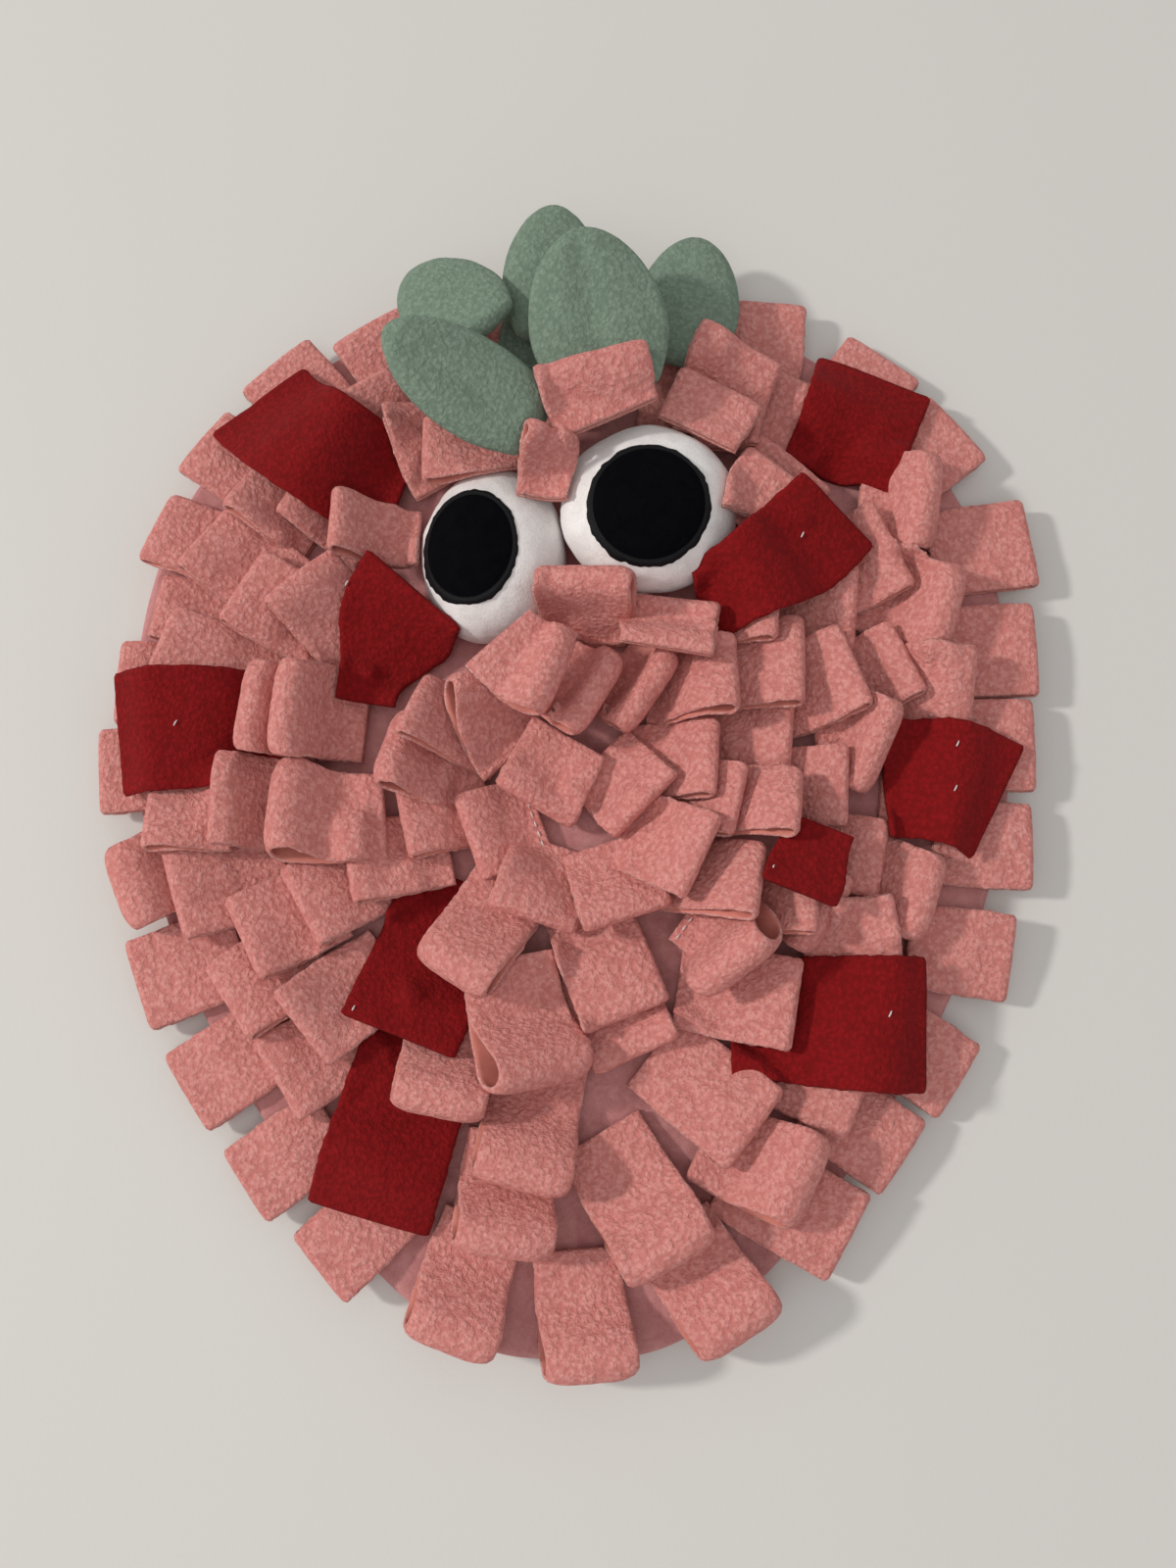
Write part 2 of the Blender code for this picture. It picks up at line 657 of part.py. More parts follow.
def make_section(name, folds, heap, collection, shapes):
    """One heading with its loops, sewn down where the heap leaves room and joined into one solid."""
    below = heap.top.copy()
    pieces = [sew_down(fold, heap) for fold in folds]
    plan, owners = heading_plan(pieces)
    lowest, lifts = np.zeros(len(folds)), np.zeros(len(plan))
    for _ in range(SECTION_ROUNDS):
        heap.top = below.copy()
        loops, roots = [], []
        for number, (piece, low) in enumerate(zip(pieces, lowest)):
            rows, root = lay_fold(piece, low, heap, below, number % 3 * STAGGER)
            loops.append(rows)
            roots.append(root)
            points = samples(rows)[0]
            points[:, 2] += HALF_THICK
            heap.lay(points)
        points, stretch, _, _ = samples(heading_line(plan, owners, roots, lifts))
        short = heap.under(points, below) + LIE_GAP + HEADING_CLOTH / 2 - points[:, 2]
        if short.max() < TAPE_CLEAR:
            break
        lowest = np.array(roots)
        for k, owner in enumerate(owners):
            mine = (stretch == k) | (stretch == k - 1)
            need = max(0.0, short[mine].max())
            if owner is None:
                lifts[k] += need
            else:
                lowest[owner] += need / 2
    points[:, 2] += HEADING_CLOTH / 2
    heap.lay(points)
    heading = ribbon(name, heading_line(plan, owners, roots, lifts), HEADING_CLOTH, collection, PINK)
    sewn = bpy.data.collections.new(name + "_loops")
    shapes.children.link(sewn)
    for number, rows in enumerate(loops):
        as_cutter(ribbon(f"{name}_loop_{number + 1}", rows, CLOTH, sewn))
    sew = heading.modifiers.new("sewn loops", "BOOLEAN")
    sew.operation = "UNION"
    sew.solver = "EXACT"
    sew.operand_type = "COLLECTION"
    sew.collection = sewn
    return heading


# ------------------------------------------------------------------ tabs
def make_tab(name, tab, heap, collection):
    """A red tab of one layer lies on the heap along its whole length."""
    fold = Fold(tab.x, tab.y, tab.heading, tab.width, tab.length, 0, 0, tab.rise)
    piece = sew_down(fold, heap)
    places = [-ROOT_ZONE, *np.linspace(ROOT_ZONE, piece.length, TAB_STATIONS)]

    def rows_at(heights):
        rows = []
        for place, pair in zip(places, heights):
            middle, left = middle_at(piece, place)
            half = half_width(piece, place)
            rows.append([np.array([*(middle + side * half * left), h]) for side, h in zip((-1, 1), pair)])
        return rows

    heights = settle(piece, places, 0.0, rows_at, range(len(places)), heap, heap.top, TAB_HALF_THICK)
    rows = rows_at(heights)
    points = samples(rows)[0]
    points[:, 2] += TAB_HALF_THICK
    heap.lay(points)
    return ribbon(name, rows, TAB_CLOTH, collection, RED)


# ------------------------------------------------------------------ stuffed pieces
def spread_over(mesh):
    """Points spread over the faces of a stuffed piece, mm."""
    corners = np.array([vertex.co for vertex in mesh.vertices]) / MM
    points = []
    for face in mesh.polygons:
        ring = corners[list(face.vertices)]
        for k in range(1, len(ring) - 1):
            a, b, c = ring[0], ring[k], ring[k + 1]
            n = int(max(np.linalg.norm(b - a), np.linalg.norm(c - a)) / SAMPLE_STEP) + 2
            u, v = np.meshgrid(np.linspace(0, 1, n), np.linspace(0, 1, n))
            u, v = u.reshape(-1, 1), v.reshape(-1, 1) * (1 - u.reshape(-1, 1))
            points.append(a + u * (b - a) + v * (c - a))
    return np.concatenate(points)


def settle_solid(mesh, heap, root=(0.0, 0.0), point=None, curl=0.0):
    """Lift a stuffed piece until its whole underside clears the heap, then add it to the heap.

    With a point given, its root and its point are lifted apart, so that it can lie on a slope, and
    the point then stands up by the curl.
    """
    points = spread_over(mesh)
    need = heap.under(points) + LIE_GAP - points[:, 2]
    if point is None:
        lift_root = lift_point = need.max()
        share_of = lambda xy: np.zeros(len(xy))
    else:
        way = np.array(point) - root
        share_of = lambda xy: np.clip((xy - root) @ way / (way @ way), 0.0, 1.0)
        share = share_of(points[:, :2])
        lift_root = lift_point = 0.0
        for _ in range(SOLID_ROUNDS):
            short = need - lift_root * (1 - share) - lift_point * share
            if short.max() < SOLID_CLEAR:
                break
            both = (1 - share) ** 2 + share ** 2
            lift_root += SOLID_SHARE * max(0.0, (short * (1 - share) / both).max())
            lift_point += SOLID_SHARE * max(0.0, (short * share / both).max())
        lift_root, lift_point = lift_root + SOLID_CLEAR, lift_point + SOLID_CLEAR + curl
    for vertex in mesh.vertices:
        share = share_of(np.array([vertex.co[:2]]) / MM)[0]
        vertex.co.z += (lift_root * (1 - share) + lift_point * share) * MM
    heap.lay(spread_over(mesh))
    return lift_root


def make_leaf(name, leaf, heap, collection):
    """A stuffed leaf: a ball drawn out to a soft point, rounder at the root."""
    root, point = np.array([leaf.root_x, leaf.root_y]), np.array([leaf.point_x, leaf.point_y])
    length = np.linalg.norm(point - root)
    heading = math.degrees(math.atan2(*(point - root)[::-1]))
    forward, left = along(heading), leftward(heading)
    shape = bmesh.new()
    bmesh.ops.create_uvsphere(shape, u_segments=LEAF_FACETS, v_segments=LEAF_FACETS, radius=1.0)
    for vertex in shape.verts:
        x, y, z = vertex.co.z, vertex.co.x, vertex.co.y     # the poles become root and point
        share = (x + 1) / 2
        widest = 0.5 * leaf.width * (1.0 - LEAF_TAPER * x)
        middle = root + forward * share * length + left * y * widest
        flat = LEAF_FLAT_ROOT + (1 - LEAF_FLAT_ROOT) * smooth(2 * share)
        height = z * leaf.thick / 2 * flat
        vertex.co = (middle[0] * MM, middle[1] * MM, height * MM)
    mesh = bpy.data.meshes.new(name)
    shape.to_mesh(mesh)
    shape.free()
    settle_solid(mesh, heap, root, point, leaf.curl)
    mesh.shade_smooth()
    return new_object(name, mesh, collection, GREEN)


def on_eye(eye, x, y, above):
    """The point of the eye's dome over x, y, with the dome grown by a margin."""
    turn = math.radians(eye.turn)
    dx, dy = x - eye.x, y - eye.y
    across = (dx * math.cos(turn) + dy * math.sin(turn)) / (eye.half_x + above)
    up = (dy * math.cos(turn) - dx * math.sin(turn)) / (eye.half_y + above)
    out = min(DOME_EDGE, across ** 2 + up ** 2)
    return (eye.height + above) * math.sqrt(1 - out)


def make_eye(side, eye, heap, collection):
    """A stuffed dome, flatter below."""
    shape = bmesh.new()
    bmesh.ops.create_uvsphere(shape, u_segments=EYE_SPOKES, v_segments=EYE_RINGS, radius=1.0)
    turn = math.radians(eye.turn)
    for vertex in shape.verts:
        x, y, z = vertex.co
        x, y = x * eye.half_x, y * eye.half_y
        height = z * (eye.height if z > 0 else EYE_BELOW)
        vertex.co = (
            (eye.x + x * math.cos(turn) - y * math.sin(turn)) * MM,
            (eye.y + x * math.sin(turn) + y * math.cos(turn)) * MM,
            height * MM,
        )
    mesh = bpy.data.meshes.new("eye_" + side)
    shape.to_mesh(mesh)
    shape.free()
    lift = settle_solid(mesh, heap)
    mesh.shade_smooth()
    new_object("eye_" + side, mesh, collection, WHITE)
    return lift


def make_pupil(side, eye, lift, heap, collection):
    """A patch that follows the dome, one cloth above it."""
    shape = bmesh.new()
    middle = shape.verts.new((eye.pupil_x * MM, eye.pupil_y * MM,
                              (lift + on_eye(eye, eye.pupil_x, eye.pupil_y, PUPIL_ABOVE)) * MM))
    inner = None
    for ring in range(1, PUPIL_RINGS + 1):
        circle = []
        for spoke in range(EYE_SPOKES):
            turn = 2 * math.pi * spoke / EYE_SPOKES
            x = eye.pupil_x + eye.pupil_half_x * ring / PUPIL_RINGS * math.cos(turn)
            y = eye.pupil_y + eye.pupil_half_y * ring / PUPIL_RINGS * math.sin(turn)
            height = lift + on_eye(eye, x, y, PUPIL_ABOVE)
            circle.append(shape.verts.new((x * MM, y * MM, height * MM)))
        for spoke in range(EYE_SPOKES):
            after = (spoke + 1) % EYE_SPOKES
            if inner is None:
                shape.faces.new((middle, circle[spoke], circle[after]))
            else:
                shape.faces.new((inner[spoke], circle[spoke], circle[after], inner[after]))
        inner = circle
    mesh = bpy.data.meshes.new("pupil_" + side)
    shape.to_mesh(mesh)
    shape.free()
    points = spread_over(mesh)
    points[:, 2] += PUPIL_CLOTH / 2
    heap.lay(points)
    pupil = new_object("pupil_" + side, mesh, collection, BLACK)
    body = pupil.modifiers.new("cloth", "SOLIDIFY")
    body.thickness = PUPIL_CLOTH * MM
    body.offset = 0.0
    return pupil


# ------------------------------------------------------------------ the whole mat
def main():
    for thing in list(bpy.data.objects):
        bpy.data.objects.remove(thing)
    collection = bpy.data.collections.new("snuffle_mat")
    shapes = bpy.data.collections.new("loop_shapes")
    bpy.context.scene.collection.children.link(collection)
    bpy.context.scene.collection.children.link(shapes)

    heap = Heap()
    outline = pad_outline()
    make_pad(collection, outline)
    lay_pad(heap, outline)
    for side, eye in EYES.items():
        make_pupil(side, eye, make_eye(side, eye, heap, collection), heap, collection)

    def sew(sections):
        for name, folds in sections.items():
            make_section(name, folds, heap, collection, shapes)

    def lay_tabs(*numbers):
        for number in numbers:
            make_tab(f"tab_{number}", TABS[f"tab_{number}"], heap, collection)

    def lay_leaves(*numbers):
        for number in numbers:
            make_leaf(f"leaf_{number}", LEAVES[f"leaf_{number}"], heap, collection)

    sew(OUTER_ROW)
    sew(SECOND_ROW)
    lay_tabs(10, 7)
    lay_leaves(4, 3, 6, 1, 5)
    sew(THIRD_ROW)
    lay_tabs(1, 2, 4, 5, 9)
    sew(INNER_ROW)
    lay_leaves(2)
    sew(CROWN_ROW)
    lay_tabs(3, 8, 6)
    sew(MIDDLE_ROW)


main()
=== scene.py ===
import math
from collections import namedtuple
from itertools import product

import bpy
import numpy as np
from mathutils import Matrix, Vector


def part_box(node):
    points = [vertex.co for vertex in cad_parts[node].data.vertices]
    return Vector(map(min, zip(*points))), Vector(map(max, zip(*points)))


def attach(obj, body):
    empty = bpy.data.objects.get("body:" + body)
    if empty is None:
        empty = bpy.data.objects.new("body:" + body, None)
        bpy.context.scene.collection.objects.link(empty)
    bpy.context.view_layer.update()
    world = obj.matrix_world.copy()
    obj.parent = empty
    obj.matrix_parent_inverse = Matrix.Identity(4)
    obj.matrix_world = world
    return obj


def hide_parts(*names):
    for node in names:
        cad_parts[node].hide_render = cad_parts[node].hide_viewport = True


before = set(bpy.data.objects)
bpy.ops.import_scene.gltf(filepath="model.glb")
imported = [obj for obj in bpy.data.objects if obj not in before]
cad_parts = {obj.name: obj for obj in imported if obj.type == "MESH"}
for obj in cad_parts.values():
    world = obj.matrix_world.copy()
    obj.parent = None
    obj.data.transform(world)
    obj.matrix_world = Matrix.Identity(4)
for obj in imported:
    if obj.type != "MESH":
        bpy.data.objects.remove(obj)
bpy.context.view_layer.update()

MM = 0.001

# -------- driving sizes of the CAD, mm
PAD_THICK = 7.0
PAD_EDGE_RADIUS = 3.0
CLOTH = 1.8  # thickness of the pink fleece
TAB_CLOTH = 2.2  # thickness of the red tabs
ROOT_GAP = 0.8  # between the two layers of a loop where they are sewn down
ROOT_WIDTH = 13.0  # width of a sewn root in the CAD
ROOT_ZONE = 3.0  # the loop lies flat this far before and behind its root
HEADING_DEPTH = 5.0  # the sewn tape that joins the roots of neighbouring loops
HEADING_CLOTH = 1.2
TAPE_INSET = 0.5  # the tape ends this far inside the outermost roots
ROUND_FOLD = 9.0  # a loop with a wider gap than this has a round fold, the others a sharp one
ROUND_TURNS = (-30, 30)  # a round fold's edges, in degrees round it
FLAT_SHARE = 0.35  # a loop's layers lie together over this share of its length
STEEPEST_TWIST = 0.5  # rise of one edge over the other, as a share of the width
STEEPEST_FALL = 0.8  # rise or fall of an edge from station to station, as a share of the way
DROOP_FROM = 17.0  # a loop sewn higher than this hangs down again by half of what it is above it
LONGER = (0, -3, 3, -6, 6, -9, -12, -15)  # other lengths tried for a loop, to sew it down lower
SHORTEST = 18  # of a loop
SWING = (0, -10, 10, -20, 20, -30, 30)  # turns of its root about its fold tried too, degrees
LONGER_COST = 0.12  # a mm of change of length counts like this much height of the root
SWING_COST = 0.05  # and a degree of turn like this much
FULL_WIDTH_AT = 0.55  # share of its length from where a loop has its full width in the CAD
SETTLE_ROUNDS = 80  # a strip is raised step by step until it clears the heap
SETTLE_SHARE = 0.6  # of what it lacks, at each step
SECTION_ROUNDS = 8  # a section is laid anew this many times at most
CLEAR = 0.03  # what a strip may still lack
TAPE_CLEAR = 0.05  # and a tape
LIE_GAP = 0.25  # between one piece and the next that lies on it
HALF_THICK = CLOTH / 2 * 1.1  # of a strip, with some room
TAB_HALF_THICK = TAB_CLOTH / 2 * 1.2
TAB_STATIONS = 6
STAGGER = 0.13  # the second of three loops lies this much higher, the third twice that
GRID_STEP = 1.0  # of the heap's grid
GRID_HALF = (205.0, 245.0)  # half its sides
SAMPLE_STEP = 0.8  # between the points that test a strip

# -------- driving sizes of the looks, mm
FINE = 1.35  # between the points of the cloth
ROOT_SHARE = 0.94  # a loop's width where it is sewn down, as a share of its full width
SEWN_TO = 5.0  # up to here a loop may lie in the other loops of its own row
SOFT_STEPS = (-4, -2, 0, 2, 4)  # heights along a strip are a mean over these places
DRAPE_ROUNDS = 14  # a layer's lift is spread over its neighbours so many times
CLEAR_ROUNDS = 10  # and that of an upper layer
DROOP_ROUNDS = 5
MOST_LIFT = 7.0  # of a strip, to clear what is seen to lie under it
DROOP_SHARE = 0.35  # a strip hangs down by this share of the room under it
MOST_DROOP = 2.0
DROOP_START = 0.5  # in full from this share of its length
EDGE_DROOP = 0.35  # its middle hangs down by this share less than its edges
CORNER = 2.4  # the folded corners are rounded from this far in
CORNER_BACK = 0.9  # and stand back by this
CORNER_TURN = 0.96  # share of a quarter circle that a corner turns through
ROUND_CORNER = 9.0  # the same for a loop with a round fold
ROUND_CORNER_BACK = 3.0
LEAN_SHIFT = 0.32  # a leaning loop's upper layer lies this share of its height to the side
SHARP = 0.85  # a sharp fold is a little flatter than a half circle
FUZZ = 0.14  # height of the pile's lumps
FUZZ_SIZE = 2.6
FUZZ_INSIDE = 0.4  # share of it on the inner side
WAVE = 0.55  # the cloth lies in waves of this height
WAVE_SIZE = 15
ROOT_WIDEN = 0.4  # share of its length over which a loop widens from its root
TAB_WIDEN = 0.75  # the same of a tab
TIP_ZONE = 9  # the corners are rounded over this length at a fold
TAB_TIP_ZONE = 6  # and at a tab's end, by less
TAB_ROUNDING = 0.8
SLOPE_CARRIED = 0.5  # share of the loop's slope that its fold goes on with
SIDE_THIN = 0.1  # a loop is thinner at its sides by this share
EDGE_THIN = 0.72  # the cloth's own thickness at its cut edges, as a share
RIM_OUT = 0.35  # the fibres of a cut edge stand out by this,
RIM_FRAY = 0.4  # unevenly by this
RIM_FRAY_SIZE = 1.6
RIM_WAVE = 0.3  # and in longer waves by this
RIM_WAVE_SIZE = 5

# -------- the pad's outline
# Half of the outline from the middle of the broad end round to the tip, +X side.
Edge = namedtuple("Edge", "x y")
PAD_EDGE = [
    Edge(0, 196), Edge(60, 188), Edge(112, 160), Edge(153, 112), Edge(170, 55), Edge(167, -10),
    Edge(148, -72), Edge(118, -125), Edge(77, -178), Edge(38, -208), Edge(0, -214),
]
EDGE_STEPS = 3  # points per stretch of the smoothed outline

# -------- the loops
# x, y: middle of the loop's fold. heading: the way it points. width, length: in plan, root to fold.
# gap: the opening between its two layers. lean: how far its left side is tipped up. rise: the
# least that the fold stands above the root.
Fold = namedtuple("Fold", "x y heading width length gap lean rise")
Sewn = namedtuple("Sewn", Fold._fields + ("swing",))

OUTER_ROW = {
    "outer_1": [
        Fold(77, 193, 86, 34, 36, 3, 0, 5), Fold(126, 170, 54, 34, 34, 3, 0, 5),
        Fold(154, 140, 40, 34, 36, 3, 0, 6),
    ],
    "outer_2": [
        Fold(180, 91, 8, 35, 38, 3, 0, 7), Fold(179, 47, 1, 36, 35, 3, 0, 7),
        Fold(176, 9, -1, 35, 34, 3, 0, 7),
    ],
    "outer_3": [
        Fold(173, -30, -2, 32, 34, 3, 0, 7), Fold(163, -72, -8, 32, 36, 3, 8, 7),
        Fold(142, -117, -34, 31, 32, 3, 0, 6), Fold(120, -144, -35, 31, 36, 3, 0, 6),
    ],
    "outer_4": [
        Fold(99, -171, -28, 34, 46, 3, 0, 5), Fold(59, -205, -58, 33, 42, 12, 10, 5),
        Fold(5, -218, -85, 32, 40, 12, 8, 5), Fold(-46, -207, -109, 32, 42, 13, 10, 5),
    ],
    "outer_5": [
        Fold(-91, -182, -138, 30, 34, 4, 8, 6), Fold(-119, -154, -145, 30, 36, 3, 0, 6),
        Fold(-142, -121, -147, 32, 38, 3, 0, 6), Fold(-162, -82, -160, 34, 38, 3, 0, 6),
    ],
    "outer_6": [
        Fold(-170, -46, -155, 33, 36, 12, 10, 7), Fold(-181, -1, -176, 32, 33, 3, 0, 6),
        Fold(-176, 34, 178, 32, 30, 3, 0, 4),
    ],
    "outer_7": [
        Fold(-162, 64, 172, 26, 32, 3.5, 8, 4), Fold(-164, 96, 160, 30, 34, 4, 12, 5),
        Fold(-148, 133, 146, 31, 36, 3.5, 10, 6),
    ],
    "outer_8": [
        Fold(-121, 166, 132, 34, 34, 3, 0, 6), Fold(-84, 182, 125, 32, 32, 3.5, 8, 5),
        Fold(-42, 197, 100, 33, 34, 3, 0, 5), Fold(-3, 203, 91, 33, 34, 3, 0, 4),
        Fold(37, 202, 88, 33, 34, 3, 0, 4),
    ],
}

SECOND_ROW = {
    "second_1": [
        Fold(-50, 168, 112, 33, 30, 3, 0, 3), Fold(-10, 172, 93, 33, 30, 3, 0, 3),
        Fold(48, 165, 76, 34, 32, 3, 0, 3), Fold(90, 155, 66, 34, 32, 3.5, 0, 4),
    ],
    "second_2": [
        Fold(141, 105, -8, 38, 26, 13, -8, 8), Fold(147, 62, -14, 34, 34, 13, -10, 6),
    ],
    "second_3": [
        Fold(151, 30, -3, 32, 28, 5, 0, 5), Fold(148, -8, -6, 32, 28, 3, 0, 3),
        Fold(134, -49, -20, 33, 30, 10, -8, 6),
    ],
    "second_4": [
        Fold(120, -92, -22, 33, 30, 3, 0, 3), Fold(104, -121, -22, 33, 32, 3, 0, 3),
        Fold(84, -154, -26, 33, 38, 14, 12, 4), Fold(35, -179, -60, 35, 48, 12, 12, 4),
        Fold(-27, -175, -97, 34, 38, 12, 10, 4),
    ],
    "second_5": [
        Fold(-70, -150, -122, 33, 30, 3, 0, 3), Fold(-107, -116, -147, 33, 34, 3, 0, 4),
        Fold(-125, -89, -143, 33, 34, 3, 0, 4), Fold(-147, -49, -163, 34, 38, 3.5, 0, 4),
    ],
    "second_6": [
        Fold(-158, -20, -177, 30, 28, 3, 0, 3), Fold(-150, 20, 178, 33, 26, 3, 0, 3),
        Fold(-156, 46, 165, 27, 48, 4, -8, 3),
    ],
    "second_7": [
        Fold(-143, 90, 146, 33, 40, 3.5, 0, 4), Fold(-128, 112, 150, 30, 30, 3, 0, 3),
        Fold(-108, 135, 138, 33, 28, 3, 0, 3), Fold(-86, 152, 128, 28, 28, 3.5, 0, 3),
    ],
}

THIRD_ROW = {
    "third_1": [
        Fold(123, 86, 25, 36, 28, 4, 0, 5), Fold(87, 122, 51, 35, 36, 3.5, 0, 4),
    ],
    "third_2": [
        Fold(127, 41, 22, 31, 32, 3.5, 0, 4), Fold(108, 62, -3, 33, 32, 3.5, 0, 4),
    ],
    "third_3": [
        Fold(118, 7, -30, 36, 24, 11, 0, 7), Fold(115, -36, -12, 30, 24, 3.5, 0, 4),
    ],
    "third_4": [
        Fold(96, -56, -30, 32, 20, 11, 0, 8), Fold(118, -62, 10, 28, 30, 3, 0, 4),
    ],
    "third_5": [
        Fold(65, -133, -38, 34, 42, 3.5, 0, 4),
    ],
    "third_6": [
        Fold(-21, -152, -104, 34, 44, 12, 8, 4), Fold(-50, -127, -101, 33, 36, 12, 6, 4),
    ],
    "third_7": [
        Fold(-98, -97, -143, 33, 36, 3.5, 0, 4), Fold(-120, -66, -152, 33, 32, 3, 0, 4),
        Fold(-100, -54, -150, 32, 36, 3.5, 0, 4),
    ],
    "third_8": [
        Fold(-132, -14, 178, 34, 30, 3, 0, 4), Fold(-123, 23, 172, 35, 24, 11, 6, 6),
    ],
    "third_9": [
        Fold(-127, 69, 152, 32, 36, 3.5, 0, 4), Fold(-105, 72, 133, 32, 40, 3.5, 0, 4),
        Fold(-106, 112, 146, 31, 32, 3.5, 0, 4),
    ],
}

INNER_ROW = {
    "inner_1": [
        Fold(102, -8, -2, 30, 38, 3.5, 0, 4), Fold(88, -50, -5, 30, 30, 3, 0, 3),
    ],
    "inner_2": [
        Fold(106, 36, 18, 34, 34, 4, 0, 4), Fold(82, 12, -5, 30, 32, 4, 0, 4),
    ],
    "inner_3": [
        Fold(86, 37, -3, 35, 36, 5, 0, 4), Fold(77, 60, -5, 30, 22, 4, 0, 4),
        Fold(80, 112, 47, 32, 22, 3.5, 0, 4),
    ],
    "inner_4": [
        Fold(81, -89, -10, 33, 40, 4, 0, 4), Fold(66, -74, -57, 33, 22, 12, -6, 7),
        Fold(67, -47, -12, 30, 40, 3.5, 0, 4),
    ],
    "inner_5": [
        Fold(24, -107, -65, 33, 36, 3, 0, 3), Fold(-16, -118, -80, 36, 44, 11, 6, 4),
    ],
    "inner_6": [
        Fold(20, -93, -68, 33, 42, 3.5, 0, 3), Fold(-44, -80, -122, 33, 42, 12, 10, 4),
    ],
    "inner_7": [
        Fold(-83, -38, -168, 30, 34, 4, 0, 4), Fold(-111, -20, 175, 34, 38, 10, -6, 4),
        Fold(-110, 22, 175, 36, 28, 11, 4, 8),
    ],
    "inner_8": [
        Fold(-92, 91, 178, 24, 32, 5, 0, 4), Fold(-66, 144, 100, 20, 38, 4, 25, 5),
        Fold(-58, 122, 178, 26, 32, 5, 0, 4),
    ],
}

CROWN_ROW = {
    "crown_1": [
        Fold(65, 165, 64, 35, 30, 3.5, 0, 4), Fold(57, 145, 63, 34, 20, 4, 0, 4),
        Fold(6, 146, 103, 42, 20, 3.5, 0, 4), Fold(-9, 120, 82, 20, 24, 3.5, 0, 3),
    ],
}

MIDDLE_ROW = {
    "middle_5": [
        Fold(82, -18, -9, 27, 32, 4, 0, 4), Fold(61, -16, -14, 27, 32, 3.5, 0, 4),
        Fold(53, 0, -5, 30, 30, 3.5, 0, 4), Fold(61, 31, 0, 32, 30, 5, 0, 4),
    ],
    "middle_1": [
        Fold(-64, -20, -166, 33, 30, 4, 0, 4), Fold(-70, 5, 167, 33, 28, 11, 12, 6),
        Fold(-60, 20, 160, 28, 32, 3, 12, 5),
    ],
    "middle_2": [
        Fold(-35, 33, 97, 31, 23, 10, 0, 8),
    ],
    "middle_6": [
        Fold(-39, -28, -160, 33, 25, 4, 0, 4), Fold(-16, -58, -108, 33, 27, 4, 0, 4),
        Fold(20, -58, -72, 33, 27, 4, 0, 4), Fold(47, -37, -25, 32, 25, 4, 0, 4),
        Fold(28, -16, -46, 33, 24, 4, 0, 4), Fold(-16, -15, -120, 33, 26, 5, 0, 4),
    ],
    "middle_3": [
        Fold(-4, 29, -14, 33, 18, 10, 0, 9), Fold(11, 23, -31, 34, 18, 10, 0, 9),
        Fold(31, 25, -35, 34, 18, 10, 0, 9),
    ],
    "middle_4": [
        Fold(38, 62, 80, 36, 20, 5, 0, 5), Fold(6, 70, 86, 36, 24, 10, 0, 6),
    ],
}

# -------- the red tabs
# One layer each. root_width: narrower where the tab is gathered under its neighbours.
Tab = namedtuple("Tab", "x y heading width length rise root_width")

TABS = {
    "tab_1": Tab(-125, 147, 130, 45, 66, 4, 45),
    "tab_2": Tab(120, 158, 69, 47, 54, 4, 45),
    "tab_3": Tab(100, 96, 50, 40, 54, 4, 30),
    "tab_4": Tab(159, -14, -28, 48, 52, 4, 44),
    "tab_5": Tab(127, -96, -2, 48, 66, 4, 44),
    "tab_6": Tab(80, -50, -112, 28, 36, 5, 24),
    "tab_7": Tab(-170, 11, -176, 46, 58, 4, 44),
    "tab_8": Tab(-60, 66, 50, 46, 58, 5, 22),
    "tab_9": Tab(-63, -100, -111, 44, 58, 4, 42),
    "tab_10": Tab(-73, -164, -106, 45, 66, 4, 43),
}

# -------- the leaves
# Root and point of each leaf in plan, its width and thickness. crease: its depth, off: how far it
# lies off the middle, seam: where the side seam runs, both as shares of the leaf's half.
Leaf = namedtuple("Leaf", "root_x root_y point_x point_y width thick crease off seam")

LEAVES = {
    "leaf_1": Leaf(-31, 158, -64, 196, 40, 13, 0.0, 0.0, 0.9),
    "leaf_2": Leaf(-12, 121, -69, 152, 38, 13, 1.3, 0.15, 0.93),
    "leaf_3": Leaf(-9, 160, -8, 219, 38, 11, 0.4, 0.1, 0.9),
    "leaf_4": Leaf(-17, 146, -20, 183, 24, 9, 0.0, 0.0, 0.9),
    "leaf_5": Leaf(15, 134, 2, 199, 52, 12, 2.2, 0.1, -0.8),
    "leaf_6": Leaf(41, 157, 50, 216, 41, 12, 0.9, 0.25, -0.9),
}

# -------- the eyes
Eye = namedtuple("Eye", "x y half_x half_y height turn pupil_x pupil_y pupil_half_x pupil_half_y")

EYES = {
    "left": Eye(-31, 83, 28, 35, 22, -3, -39, 81, 18.5, 22.5),
    "right": Eye(29, 98, 34, 33, 22, 0, 28, 94, 23, 23),
}
EYE_BELOW = 7.0  # the rounded underside of an eye reaches this far below its widest line


# -------- helpers
NOISE_START = 131.7  # the noise begins off the origin,
NOISE_STEP = 7.3  # and each seed takes another part of it
PRIMES = np.array([73856093, 19349663, 83492791])  # they scramble a cell's place into its own value
LAST_PRIME = 1274126177


def along(heading):
    """Unit vector of a heading, in plan."""
    turn = math.radians(heading)
    return np.array([math.cos(turn), math.sin(turn)])


def leftward(heading):
    """Unit vector to the left of a heading, in plan."""
    return along(heading + 90)


def smooth(share):
    """Smooth step from 0 to 1."""
    share = np.clip(share, 0.0, 1.0)
    return share * share * (3 - 2 * share)


